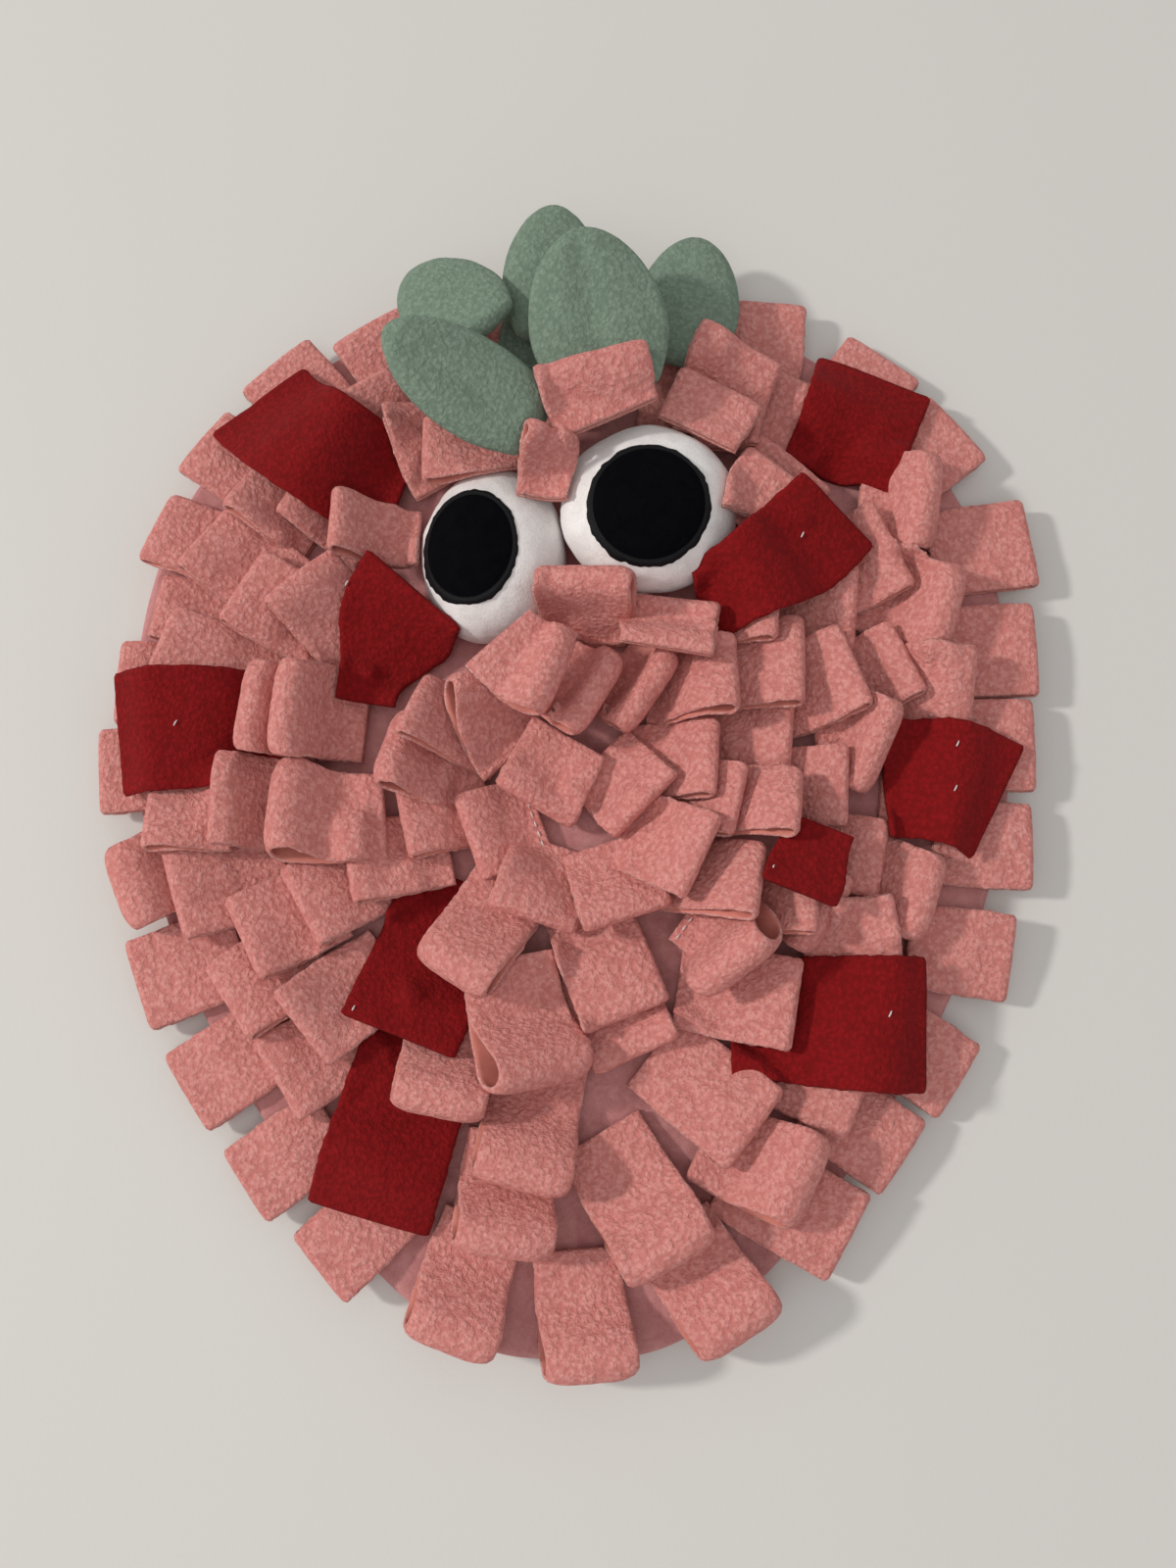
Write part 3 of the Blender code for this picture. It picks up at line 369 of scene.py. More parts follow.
def lumps(points, size, seed=0):
    """Smooth noise from -1 to 1 at each point, with lumps of this size, the same on every run."""
    place = np.asarray(points, float) / size + NOISE_START + NOISE_STEP * seed
    cell = np.floor(place).astype(np.int64)
    part = place - cell
    part = part * part * (3 - 2 * part)
    total = np.zeros(place.shape[:-1])
    for corner in product((0, 1), repeat=3):
        mixed = np.bitwise_xor.reduce((cell + np.array(corner)) * PRIMES, axis=-1)
        mixed = ((mixed ^ (mixed >> 13)) * LAST_PRIME) & 0xFFFFFF
        weight = np.prod(np.where(np.array(corner) == 1, part, 1 - part), axis=-1)
        total += weight * (mixed / 0x7FFFFF - 1)
    return total


def blur(field):
    """Each value mixed with its neighbours on the grid."""
    wide = np.pad(field, 1, mode="edge")
    rows = (wide[:-2] + 2 * wide[1:-1] + wide[2:]) / 4
    return (rows[:, :-2] + 2 * rows[:, 1:-1] + rows[:, 2:]) / 4


# -------- the growing heap
class Heap:
    """Height of the top of all that is laid so far, on a square grid."""

    def __init__(self):
        self.count = [int(2 * half / GRID_STEP) + 1 for half in GRID_HALF]
        self.top = np.zeros(self.count)

    def cells(self, points):
        cell = np.empty((len(points), 2), int)
        for axis in (0, 1):
            place = np.rint((points[:, axis] + GRID_HALF[axis]) / GRID_STEP).astype(int)
            cell[:, axis] = np.clip(place, 1, self.count[axis] - 2)
        return cell[:, 0], cell[:, 1]

    def under(self, points, top=None):
        """The height that each point has below it, from the cells round it."""
        heap = self.top if top is None else top
        i, j = self.cells(points)
        return np.max([heap[i + di, j + dj] for di in (-1, 0, 1) for dj in (-1, 0, 1)], axis=0)

    def lay(self, points, above=0.0):
        """Raise the heap to the points, or to this far above them."""
        i, j = self.cells(points)
        np.maximum.at(self.top, (i, j), points[:, 2] + above)


def samples(rows):
    """Points spread over a ribbon of edge pairs, with the stretch, and how far across and ahead in it."""
    points, stretch, across, ahead = [], [], [], []
    for number, (near, far) in enumerate(zip(rows[:-1], rows[1:])):
        wide = max(np.linalg.norm(near[0] - near[1]), np.linalg.norm(far[0] - far[1]))
        deep = max(np.linalg.norm(near[0] - far[0]), np.linalg.norm(near[1] - far[1]))
        u, v = np.meshgrid(
            np.linspace(0, 1, int(deep / SAMPLE_STEP) + 2), np.linspace(0, 1, int(wide / SAMPLE_STEP) + 2)
        )
        u, v = u.reshape(-1, 1), v.reshape(-1, 1)
        points.append((1 - u) * ((1 - v) * near[0] + v * near[1]) + u * ((1 - v) * far[0] + v * far[1]))
        stretch.append(np.full(len(u), number))
        across.append(v[:, 0])
        ahead.append(u[:, 0])
    return tuple(np.concatenate(part) for part in (points, stretch, across, ahead))


def eased(places, heights):
    """The lowest line over the heights that is nowhere too steep."""
    heights = list(heights)
    for here in range(1, len(places)):
        fall = STEEPEST_FALL * (places[here] - places[here - 1])
        heights[here] = max(heights[here], heights[here - 1] - fall)
    for here in range(len(places) - 2, -1, -1):
        fall = STEEPEST_FALL * (places[here + 1] - places[here])
        heights[here] = max(heights[here], heights[here + 1] - fall)
    return np.array(heights)


def curve_through(ring, steps):
    """A smooth closed line through a ring of points, with this many steps from one to the next."""
    line = []
    for k in range(len(ring)):
        before, start, end, after = (ring[(k + step) % len(ring)] for step in (-1, 0, 1, 2))
        for part in range(steps):
            t = part / steps
            line.append(0.5 * (2 * start + (end - before) * t
                               + (2 * before - 5 * start + 4 * end - after) * t ** 2
                               + (3 * start - before - 3 * end + after) * t ** 3))
    return np.array(line)


def pad_outline():
    """The pad's whole outline in plan."""
    half = [np.array(point, float) for point in PAD_EDGE]
    return curve_through(half + [point * (-1, 1) for point in half[-2:0:-1]], EDGE_STEPS)


def lay_pad(heap, outline):
    """Raise the heap by the pad wherever the grid lies inside the outline."""
    x = np.linspace(-GRID_HALF[0], GRID_HALF[0], heap.count[0])[:, None]
    y = np.linspace(-GRID_HALF[1], GRID_HALF[1], heap.count[1])[None, :]
    inside = np.zeros(heap.top.shape, bool)
    for (x0, y0), (x1, y1) in zip(outline, np.roll(outline, -1, axis=0)):
        if y0 != y1:
            crosses = ((y0 > y) != (y1 > y)) & (x < (x1 - x0) * (y - y0) / (y1 - y0) + x0)
            inside ^= crosses
    heap.top[inside] = PAD_THICK


# -------- loops, as the CAD lays them
def middle_at(piece, place):
    """The middle of a sewn loop in plan, and the way to its left, this far from its root."""
    back = 1 - place / piece.length
    tip = np.array([piece.x, piece.y])
    middle = tip - back * piece.length * along(piece.heading + piece.swing * back / 2)
    return middle, leftward(piece.heading + piece.swing * back)


def edge_pair(middle, across, right_height, left_height):
    """Both edges of a strip, this way to each side of its middle, at their heights."""
    return [np.array([*(middle - across), right_height]), np.array([*(middle + across), left_height])]


def half_width(piece, place):
    """Half the width of a strip in the CAD, this far from its root."""
    share = smooth((place - ROOT_ZONE) / (FULL_WIDTH_AT * piece.length - ROOT_ZONE))
    return (ROOT_WIDTH + (piece.width - ROOT_WIDTH) * share) / 2


def root_patch(piece):
    """Points spread over the flat root of a loop, in plan."""
    rows = []
    for place in (-ROOT_ZONE, ROOT_ZONE):
        middle, left = middle_at(piece, place)
        rows.append(edge_pair(middle, ROOT_WIDTH / 2 * left, 0.0, 0.0))
    return samples(rows)[0]


def sew_down(fold, heap):
    """The loop with the length and swing that bring its root down lowest."""
    best, least = None, math.inf
    for longer in LONGER:
        for swing in SWING:
            piece = Sewn(*fold._replace(length=fold.length + longer), swing)
            cost = heap.under(root_patch(piece)).max() + LONGER_COST * abs(longer) + SWING_COST * abs(swing)
            if piece.length >= SHORTEST and cost < least:
                best, least = piece, cost
    return best


def fold_rows(piece, places, heights):
    """Edge pairs of a loop: out along its lower layer, round the fold and back along the upper one."""
    bend = (piece.gap + CLOTH) / 2
    reach = places[-1]
    root_apart = CLOTH + ROOT_GAP
    last = len(places) - 1
    slopes = np.gradient(heights.mean(axis=1), places)
    slopes[:2] = [0.0, slopes[1] / 2]
    line = [(place, 0.0, number) for number, place in enumerate(places)]
    for angle in ROUND_TURNS if piece.gap > ROUND_FOLD else (0,):
        turn = math.radians(angle)
        line.append((reach + bend * math.cos(turn), bend * (1 + math.sin(turn)), last))
    for number in range(last, -1, -1):
        open_share = smooth((places[number] / reach - FLAT_SHARE) / (1 - FLAT_SHARE))
        apart = root_apart + open_share * (2 * bend - root_apart)
        line.append((places[number], apart * math.sqrt(1 + slopes[number] ** 2), number))
    rows = []
    for place, apart, number in line:
        middle, left = middle_at(piece, place)
        half = half_width(piece, place)
        right_height, left_height = heights[number]
        tilt = math.atan2(left_height - right_height, 2 * half)
        middle = middle - left * math.sin(tilt) * apart
        height = (right_height + left_height) / 2 + math.cos(tilt) * apart
        rise = half * math.sin(tilt)
        rows.append(edge_pair(middle, half * math.cos(tilt) * left, height - rise, height + rise))
    return rows


def settle(piece, places, lowest, rows_at, owner, heap, below, half_thick, lean=0.0):
    """Raise the edges of a strip, station by station, until all of it clears the heap."""
    share = smooth((np.array(places) - ROOT_ZONE) / (FULL_WIDTH_AT * piece.length - ROOT_ZONE))
    tip_up = math.tan(math.radians(lean)) * piece.width / 2
    rise = piece.rise - max(0.0, lowest - DROOP_FROM) / 2
    level = lowest + rise * np.clip(np.array(places) / places[-1], 0, 1)
    heights = np.stack([level - tip_up * share, level + tip_up * share], axis=1)
    owner = np.array(owner)
    for _ in range(SETTLE_ROUNDS):
        rows = rows_at(heights)
        points, stretch, across, ahead = samples(rows)
        near_root = np.maximum(owner[stretch], owner[stretch + 1]) <= 2
        floor = np.where(near_root, heap.under(points, below), heap.under(points))
        short = floor + LIE_GAP + half_thick - points[:, 2]
        need = np.zeros_like(heights)
        for share_along, station_of in ((1 - ahead, owner[stretch]), (ahead, owner[stretch + 1])):
            along_part = share_along / ((1 - ahead) ** 2 + ahead ** 2)
            for edge, share_across in enumerate((1 - across, across)):
                part = short * along_part * share_across / ((1 - across) ** 2 + across ** 2)
                for station in range(len(places)):
                    mine = station_of == station
                    if mine.any():
                        need[station, edge] = max(need[station, edge], part[mine].max())
        if need.max() < CLEAR:
            break
        heights = heights + SETTLE_SHARE * need
        heights[:2] = heights[:2].max()
        for edge in (0, 1):
            heights[2:, edge] = eased(places[2:], heights[2:, edge])
        most = STEEPEST_TWIST * piece.width * share
        heights = np.maximum(heights, heights.max(axis=1, keepdims=True) - most[:, None])
    return heights


def lay_fold(piece, lowest, heap, below, extra):
    """The edge pairs of a loop that clears the heap, with its stations and their heights."""
    bend = (piece.gap + CLOTH) / 2
    reach = piece.length - bend
    places = [-ROOT_ZONE, ROOT_ZONE, (ROOT_ZONE + reach) / 2, reach]
    last = len(places) - 1
    folded = [last, last] if piece.gap > ROUND_FOLD else [last]
    owner = list(range(len(places))) + folded + list(range(last, -1, -1))
    heights = settle(
        piece, places, lowest, lambda h: fold_rows(piece, places, h), owner, heap, below, HALF_THICK + extra,
        piece.lean
    )
    return fold_rows(piece, places, heights), places, heights


def heading_plan(pieces):
    """The sewn tape in plan: its middle line through both ends of every root, and whose root each is."""
    line, owners = [], []
    for number, piece in enumerate(pieces):
        root, left = middle_at(piece, 0.0)
        ends = [root + side * (ROOT_WIDTH / 2 - TAPE_INSET) * left for side in (-1, 1)]
        ahead = pieces[min(number + 1, len(pieces) - 1)]
        behind = pieces[max(number - 1, 0)]
        way = middle_at(ahead, 0.0)[0] - middle_at(behind, 0.0)[0]
        if np.dot(way, left) < 0:
            ends.reverse()
        if line:
            line.append((line[-1] + ends[0]) / 2)
            owners.append(None)
        line += ends
        owners += [number, number]
    return line, owners


def heading_line(plan, owners, roots, lifts):
    """The tape's edge pairs, at the heights of the roots, and between two roots lifted over the heap."""
    rows = []
    for k, (point, owner) in enumerate(zip(plan, owners)):
        run = plan[min(k + 1, len(plan) - 1)] - plan[max(k - 1, 0)]
        across = np.array([-run[1], run[0]]) / np.linalg.norm(run) * HEADING_DEPTH / 2
        if owner is None:
            height = (roots[owners[k - 1]] + roots[owners[k + 1]]) / 2 + lifts[k]
        else:
            height = roots[owner]
        rows.append(edge_pair(point, across, height, height))
    return rows


def lay_section(folds, heap):
    """The loops of one section as the CAD lays them: each with its stations and their heights."""
    below = heap.top.copy()
    pieces = [sew_down(fold, heap) for fold in folds]
    plan, owners = heading_plan(pieces)
    lowest, lifts = np.zeros(len(folds)), np.zeros(len(plan))
    for _ in range(SECTION_ROUNDS):
        heap.top = below.copy()
        laid, roots = [], []
        for number, (piece, low) in enumerate(zip(pieces, lowest)):
            rows, places, heights = lay_fold(piece, low, heap, below, number % 3 * STAGGER)
            laid.append((piece, places, heights))
            roots.append(heights[0, 0])
            heap.lay(samples(rows)[0], HALF_THICK)
        points, stretch, _, _ = samples(heading_line(plan, owners, roots, lifts))
        short = heap.under(points, below) + LIE_GAP + HEADING_CLOTH / 2 - points[:, 2]
        if short.max() < TAPE_CLEAR:
            break
        lowest = np.array(roots)
        for k, owner in enumerate(owners):
            mine = (stretch == k) | (stretch == k - 1)
            need = max(0.0, short[mine].max())
            if owner is None:
                lifts[k] += need
            else:
                lowest[owner] += need / 2
    heap.lay(points, HEADING_CLOTH / 2)
    return laid


def lay_tab(tab, heap):
    """A red tab as the CAD lays it, along the heap."""
    fold = Fold(tab.x, tab.y, tab.heading, tab.width, tab.length, 0, 0, tab.rise)
    piece = sew_down(fold, heap)
    places = [-ROOT_ZONE, *np.linspace(ROOT_ZONE, piece.length, TAB_STATIONS)]

    def rows_at(heights):
        rows = []
        for place, pair in zip(places, heights):
            middle, left = middle_at(piece, place)
            rows.append(edge_pair(middle, half_width(piece, place) * left, *pair))
        return rows

    heights = settle(piece, places, 0.0, rows_at, range(len(places)), heap, heap.top, TAB_HALF_THICK)
    heap.lay(samples(rows_at(heights))[0], TAB_HALF_THICK)
    return piece, places, heights


def spread_over(mesh):
    """Points spread over the faces of a stuffed CAD solid, mm."""
    corners = np.array([vertex.co for vertex in mesh.vertices]) / MM
    points = []
    for face in mesh.polygons:
        ring = corners[list(face.vertices)]
        for k in range(1, len(ring) - 1):
            a, b, c = ring[0], ring[k], ring[k + 1]
            n = int(max(np.linalg.norm(b - a), np.linalg.norm(c - a)) / SAMPLE_STEP) + 2
            u, v = np.meshgrid(np.linspace(0, 1, n), np.linspace(0, 1, n))
            u, v = u.reshape(-1, 1), v.reshape(-1, 1) * (1 - u.reshape(-1, 1))
            points.append(a + u * (b - a) + v * (c - a))
    return np.concatenate(points)


def lay_node(name, heap):
    """Put a CAD solid that is already in its place on the heap."""
    heap.lay(spread_over(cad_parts[name].data))


# -------- materials
NUB_WIDER = 1.7  # the nubs of a fleece are this much wider than its curls
FLEECE_HIGH = 1.7  # height of its pile, mm
WORN_SIZE = 16  # it is worn in patches of this size, mm
BRUSH_WIDER = 9  # a short pile is brushed in patches this much wider than its grain
SHORT_HIGH = 0.35  # height of a short pile, mm
SHEEN_ROUGHNESS = 0.45


def colour_of(*screen):
    """Linear colour of a screen colour from 0 to 255."""
    return tuple(((c / 255 + 0.055) / 1.055) ** 2.4 if c > 10 else c / 255 / 12.92 for c in screen)


class Nodes:
    """Short names for building a material's nodes."""

    def __init__(self, name):
        self.material = bpy.data.materials.new(name)
        self.material.use_nodes = True
        self.tree = self.material.node_tree
        self.shader = self.tree.nodes["Principled BSDF"]
        self.place = self.tree.nodes.new("ShaderNodeTexCoord").outputs["Object"]

    def fill(self, node, values):
        """Link other nodes' outputs to a node's inputs, or set those to colours or numbers."""
        for name, value in values.items():
            if isinstance(value, bpy.types.NodeSocket):
                self.tree.links.new(value, node.inputs[name])
            else:
                node.inputs[name].default_value = (*value, 1.0) if isinstance(value, tuple) else value

    def add(self, kind, **values):
        node = self.tree.nodes.new("ShaderNode" + kind)
        self.fill(node, values)
        return node

    def noise(self, size, detail=3.0, warp=0.0):
        node = self.add("TexNoise", Scale=1 / (size * MM), Detail=detail, Distortion=warp, Vector=self.place)
        return node.outputs["Fac"]

    def nubs(self, size):
        node = self.tree.nodes.new("ShaderNodeTexVoronoi")
        node.feature = "SMOOTH_F1"
        self.fill(node, {"Scale": 1 / (size * MM), "Smoothness": 0.6, "Vector": self.place})
        return node.outputs["Distance"]

    def ramp(self, value, stops):
        node = self.add("ValToRGB", Fac=value)
        while len(node.color_ramp.elements) < len(stops):
            node.color_ramp.elements.new(0.5)
        for element, (place, colour) in zip(node.color_ramp.elements, stops):
            element.position = place
            element.color = (*colour, 1.0)
        return node.outputs["Color"]

    def multiply(self, one, two):
        """One colour multiplied by another."""
        node = self.tree.nodes.new("ShaderNodeMix")
        node.data_type = "RGBA"
        node.blend_type = "MULTIPLY"
        self.fill(node, {0: 1.0, 6: one, 7: two})
        return node.outputs[2]

    def maths(self, operation, one, two):
        node = self.tree.nodes.new("ShaderNodeMath")
        node.operation = operation
        self.fill(node, {0: one, 1: two})
        return node.outputs[0]

    def bump(self, height, strength, distance):
        node = self.add("Bump", Strength=strength, Distance=distance * MM, Height=height)
        self.fill(self.shader, {"Normal": node.outputs["Normal"]})

    def finish(self, colour, roughness, sheen, sheen_colour, specular=0.25):
        self.fill(self.shader, {
            "Base Color": colour, "Roughness": roughness, "Specular IOR Level": specular,
            "Sheen Weight": sheen, "Sheen Roughness": SHEEN_ROUGHNESS, "Sheen Tint": sheen_colour,
        })
        return self.material


def fleece(name, deep, usual, tips, nub, bump, sheen=0.25):
    """A pile of small curls: painted shade between them, painted light on their tips, and worn a little
    unevenly.
    """
    made = Nodes(name)
    deep, usual, tips = colour_of(*deep), colour_of(*usual), colour_of(*tips)
    curls = made.noise(nub, 2.0, 0.5)
    cells = made.nubs(nub * NUB_WIDER)
    height = made.maths("SUBTRACT", made.maths("MULTIPLY", curls, 0.8), made.maths("MULTIPLY", cells, 0.6))
    # The colour follows the pile's height: painted shade deep between the curls, painted light on their
    # tips.
    colour = made.ramp(height, [(0.0, deep), (0.17, usual), (0.36, tips)])
    patches = made.ramp(made.noise(WORN_SIZE, 2.0), [(0.3, (0.95, 0.94, 0.94)), (0.7, (1.0, 1.0, 1.0))])
    fibres = made.maths("MULTIPLY", made.noise(0.35, 2.0), 0.35)
    made.bump(made.maths("ADD", height, fibres), bump, FLEECE_HIGH)
    return made.finish(made.multiply(colour, patches), 0.95, sheen, tips)


def short_pile(name, deep, usual, grain, bump, sheen, roughness=0.85, specular=0.25):
    """Velour, plush and velvet: a fine even pile, brushed this way and that."""
    made = Nodes(name)
    deep, usual = colour_of(*deep), colour_of(*usual)
    brushed = made.noise(grain * BRUSH_WIDER, 3.0, 0.8)
    fine = made.noise(grain, 2.0)
    uneven = made.maths("ADD", made.maths("MULTIPLY", brushed, 0.6), made.maths("MULTIPLY", fine, 0.4))
    made.bump(made.maths("ADD", fine, brushed), bump, SHORT_HIGH)
    return made.finish(made.ramp(uneven, [(0.3, deep), (0.65, usual)]), roughness, sheen, usual, specular)


# Screen colours from deep in the pile to its tips, then the pile's size, mm, and how rough it looks. In a
# fleece the darker deep colour is painted shade and the lighter tips are painted light.
PINK_FLEECE = fleece("pink_fleece", (220, 137, 130), (234, 155, 148), (241, 168, 161), 1.3, 0.95)
PINK_BACK = short_pile("pink_back", (200, 118, 106), (216, 138, 125), 0.45, 0.25, 0.1, 0.9)
# The cut edges are painted lighter: a painted highlight where their fuzz catches the light.
PINK_EDGE_HIGHLIGHT = fleece("pink_edge", (224, 146, 139), (238, 172, 164), (246, 192, 185), 0.8, 0.9)
RED_FLEECE = fleece("red_fleece", (122, 9, 13), (134, 11, 16), (142, 16, 21), 1.2, 0.6, 0.06)
GREEN_FLEECE = fleece("green_fleece", (119, 138, 122), (129, 149, 132), (137, 157, 141), 1.2, 0.7)
WHITE_PLUSH = short_pile("white_plush", (226, 221, 220), (245, 243, 242), 0.9, 0.6, 0.3)
VELOUR = short_pile("velour", (176, 112, 112), (204, 145, 143), 0.55, 0.4, 0.35)
BLACK_VELVET = short_pile("black_velvet", (2, 2, 4), (7, 7, 11), 0.6, 0.6, 0.01, 0.9, 0.06)


def thread(name, dark, light, twist, warp, bump, depth, sheen, specular):
    """Close stitches: light and dark along the thread, with its twist as bump."""
    made = Nodes(name)
    colour = made.ramp(made.noise(0.5, 2.0), [(0.3, colour_of(*dark)), (0.7, colour_of(*light))])
    made.bump(made.noise(twist, 2.0, warp), bump, depth)
    return made.finish(colour, 0.6, sheen, (1.0, 1.0, 1.0), specular)


SATIN_RIM = thread("satin_rim", (4, 4, 6), (17, 17, 22), 0.45, 2.0, 0.6, 0.25, 0.0, 0.2)
WHITE_THREAD = thread("white_thread", (205, 192, 190), (240, 232, 230), 0.3, 0.0, 0.4, 0.1, 0.1, 0.25)


# -------- cloth, as it really lies
def soft_line(places, heights, stations):
    """Heights along a strip, with the bends between the CAD's few stations rounded off."""
    return np.mean([np.interp(stations + step, places, heights) for step in SOFT_STEPS], axis=0)


def lift_clear(layer, stations, sewn_to, heap, below, half_thick, rounds):
    """The heights at which a layer just clears what is there, and how far each point has to come up."""
    flat, shape = layer.reshape(-1, 3), layer.shape[:2]
    floor = np.where(
        stations[:, None] <= sewn_to, heap.under(flat, below).reshape(shape), heap.under(flat).reshape(shape)
    ) + LIE_GAP + half_thick
    need = np.clip(floor - layer[..., 2], 0, MOST_LIFT)
    lift = need
    for _ in range(rounds):
        lift = np.maximum(need, blur(lift))
    return floor, lift


def drape(piece, places, heights, stations, half, heap, below, half_thick, sewn_to):
    """One layer of cloth that lies on the heap: its grid of middle points, and each row's tilt and left."""
    v = np.linspace(-1, 1, int(round(piece.width / FINE)) + 1)
    spots = [middle_at(piece, place) for place in stations]
    middles, lefts = np.array([spot[0] for spot in spots]), np.array([spot[1] for spot in spots])
    right, left = (soft_line(places, heights[:, side], stations) for side in (0, 1))
    half_cad = np.array([half_width(piece, place) for place in stations])
    tilt = np.arctan2(left - right, 2 * half_cad)
    y = v[None, :] * half[:, None]
    plan = middles[:, None, :] + lefts[:, None, :] * (y * np.cos(tilt)[:, None])[..., None]
    level = ((left + right) / 2)[:, None]
    z = level + np.clip(y, -half_cad[:, None], half_cad[:, None]) * np.sin(tilt)[:, None]
    z = z + WAVE * lumps(np.dstack([plan, z]), WAVE_SIZE)
    layer = np.dstack([plan, z])
    floor, lift = lift_clear(layer, stations, sewn_to, heap, below, half_thick, DRAPE_ROUNDS)
    room = np.clip(z + lift - floor, 0, None)
    droop = np.minimum(DROOP_SHARE * room, MOST_DROOP) * (1 - EDGE_DROOP + EDGE_DROOP * v ** 2)[None, :]
    droop = droop * smooth(stations / (DROOP_START * piece.length))[:, None]
    for _ in range(DROOP_ROUNDS):
        droop = blur(droop)
    return np.dstack([plan, z + lift - droop]), tilt, lefts, v


def round_corners(grid, piece, v, share):
    """Pull the corners of a strip's end back, row by row by a share from 0 to 1."""
    arched = piece.gap > ROUND_FOLD
    inner = 1 - 2 * (ROUND_CORNER if arched else CORNER) / piece.width
    out = np.clip((np.abs(v) - inner) / (1 - inner), 0, 1)
    back = (ROUND_CORNER_BACK if arched else CORNER_BACK) * (1 - np.sqrt(1 - CORNER_TURN * out ** 2))
    grid[..., :2] -= along(piece.heading) * (share[:, None] * back[None, :])[..., None]


def fine_stations(reach):
    """Places from behind the root of a strip to its end, a fine step apart."""
    return np.linspace(-ROOT_ZONE, reach, int(round((reach + ROOT_ZONE) / FINE)) + 1)


def loop_grid(piece, places, heights, heap, below):
    """The middle of the cloth of a whole loop: lower layer, fold and upper layer, as one grid."""
    bend = (piece.gap + CLOTH) / 2
    reach = piece.length - bend
    stations = fine_stations(reach)
    widen = smooth(stations / (ROOT_WIDEN * piece.length))
    half = piece.width / 2 * (ROOT_SHARE + (1 - ROOT_SHARE) * widen)
    lower, tilt, lefts, v = drape(piece, places, heights, stations, half, heap, below, HALF_THICK, SEWN_TO)
    slope = np.gradient(lower[..., 2].mean(axis=1), stations)
    up = np.column_stack([-lefts * np.sin(tilt)[:, None], np.cos(tilt)])
    thin = 1 - SIDE_THIN * v ** 4
    root_apart = CLOTH + ROOT_GAP
    open_share = smooth((stations / reach - FLAT_SHARE) / (1 - FLAT_SHARE))
    apart = (root_apart + open_share * (2 * bend - root_apart)) * np.sqrt(1 + slope ** 2)
    upper = lower + up[:, None, :] * (apart[:, None] * thin[None, :])[..., None]
    aside = np.sign(piece.lean) * LEAN_SHIFT * np.clip(apart - root_apart, 0, None)
    upper[..., :2] += (lefts * aside[:, None])[:, None, :]
    upper[..., 2] += lift_clear(upper, stations, SEWN_TO, heap, below, HALF_THICK, CLEAR_ROUNDS)[1]
    near_tip = smooth((stations - (reach - TIP_ZONE)) / TIP_ZONE)
    round_corners(lower, piece, v, near_tip)
    round_corners(upper, piece, v, near_tip)
    turns = np.radians(np.linspace(-90, 90, max(5, int(round(math.pi * bend / FINE)) + 2)))[1:-1]
    forward = np.array([*along(piece.heading), SLOPE_CARRIED * slope[-1]])
    depth = bend if piece.gap > ROUND_FOLD else bend * SHARP
    fold = []
    for turn in turns:
        share = (1 + math.sin(turn)) / 2
        fold.append(lower[-1] * (1 - share) + upper[-1] * share + forward * depth * math.cos(turn))
    return np.concatenate([lower, np.array(fold), upper[::-1]]), upper


def tab_grid(piece, places, heights, root_width, heap):
    """The middle of the one layer of a red tab."""
    stations = fine_stations(piece.length)
    widen = smooth(stations / (TAB_WIDEN * piece.length))
    half = (root_width + (piece.width - root_width) * widen) / 2
    grid, _, _, v = drape(piece, places, heights, stations, half, heap, heap.top, TAB_HALF_THICK, 0.0)
    near_end = smooth((stations - (piece.length - TAB_TIP_ZONE)) / TAB_TIP_ZONE)
    round_corners(grid, piece, v, near_end * TAB_ROUNDING)
    return grid


def unit(vectors):
    """The vectors at length 1."""
    return vectors / np.maximum(np.linalg.norm(vectors, axis=-1, keepdims=True), 1e-9)


def finer(grid):
    """The grid with the points half way between its rows and columns."""
    rows = np.empty((2 * grid.shape[0] - 1, *grid.shape[1:]))
    rows[::2] = grid
    rows[1::2] = (grid[:-1] + grid[1:]) / 2
    both = np.empty((rows.shape[0], 2 * rows.shape[1] - 1, 3))
    both[:, ::2] = rows
    both[:, 1::2] = (rows[:, :-1] + rows[:, 1:]) / 2
    return both


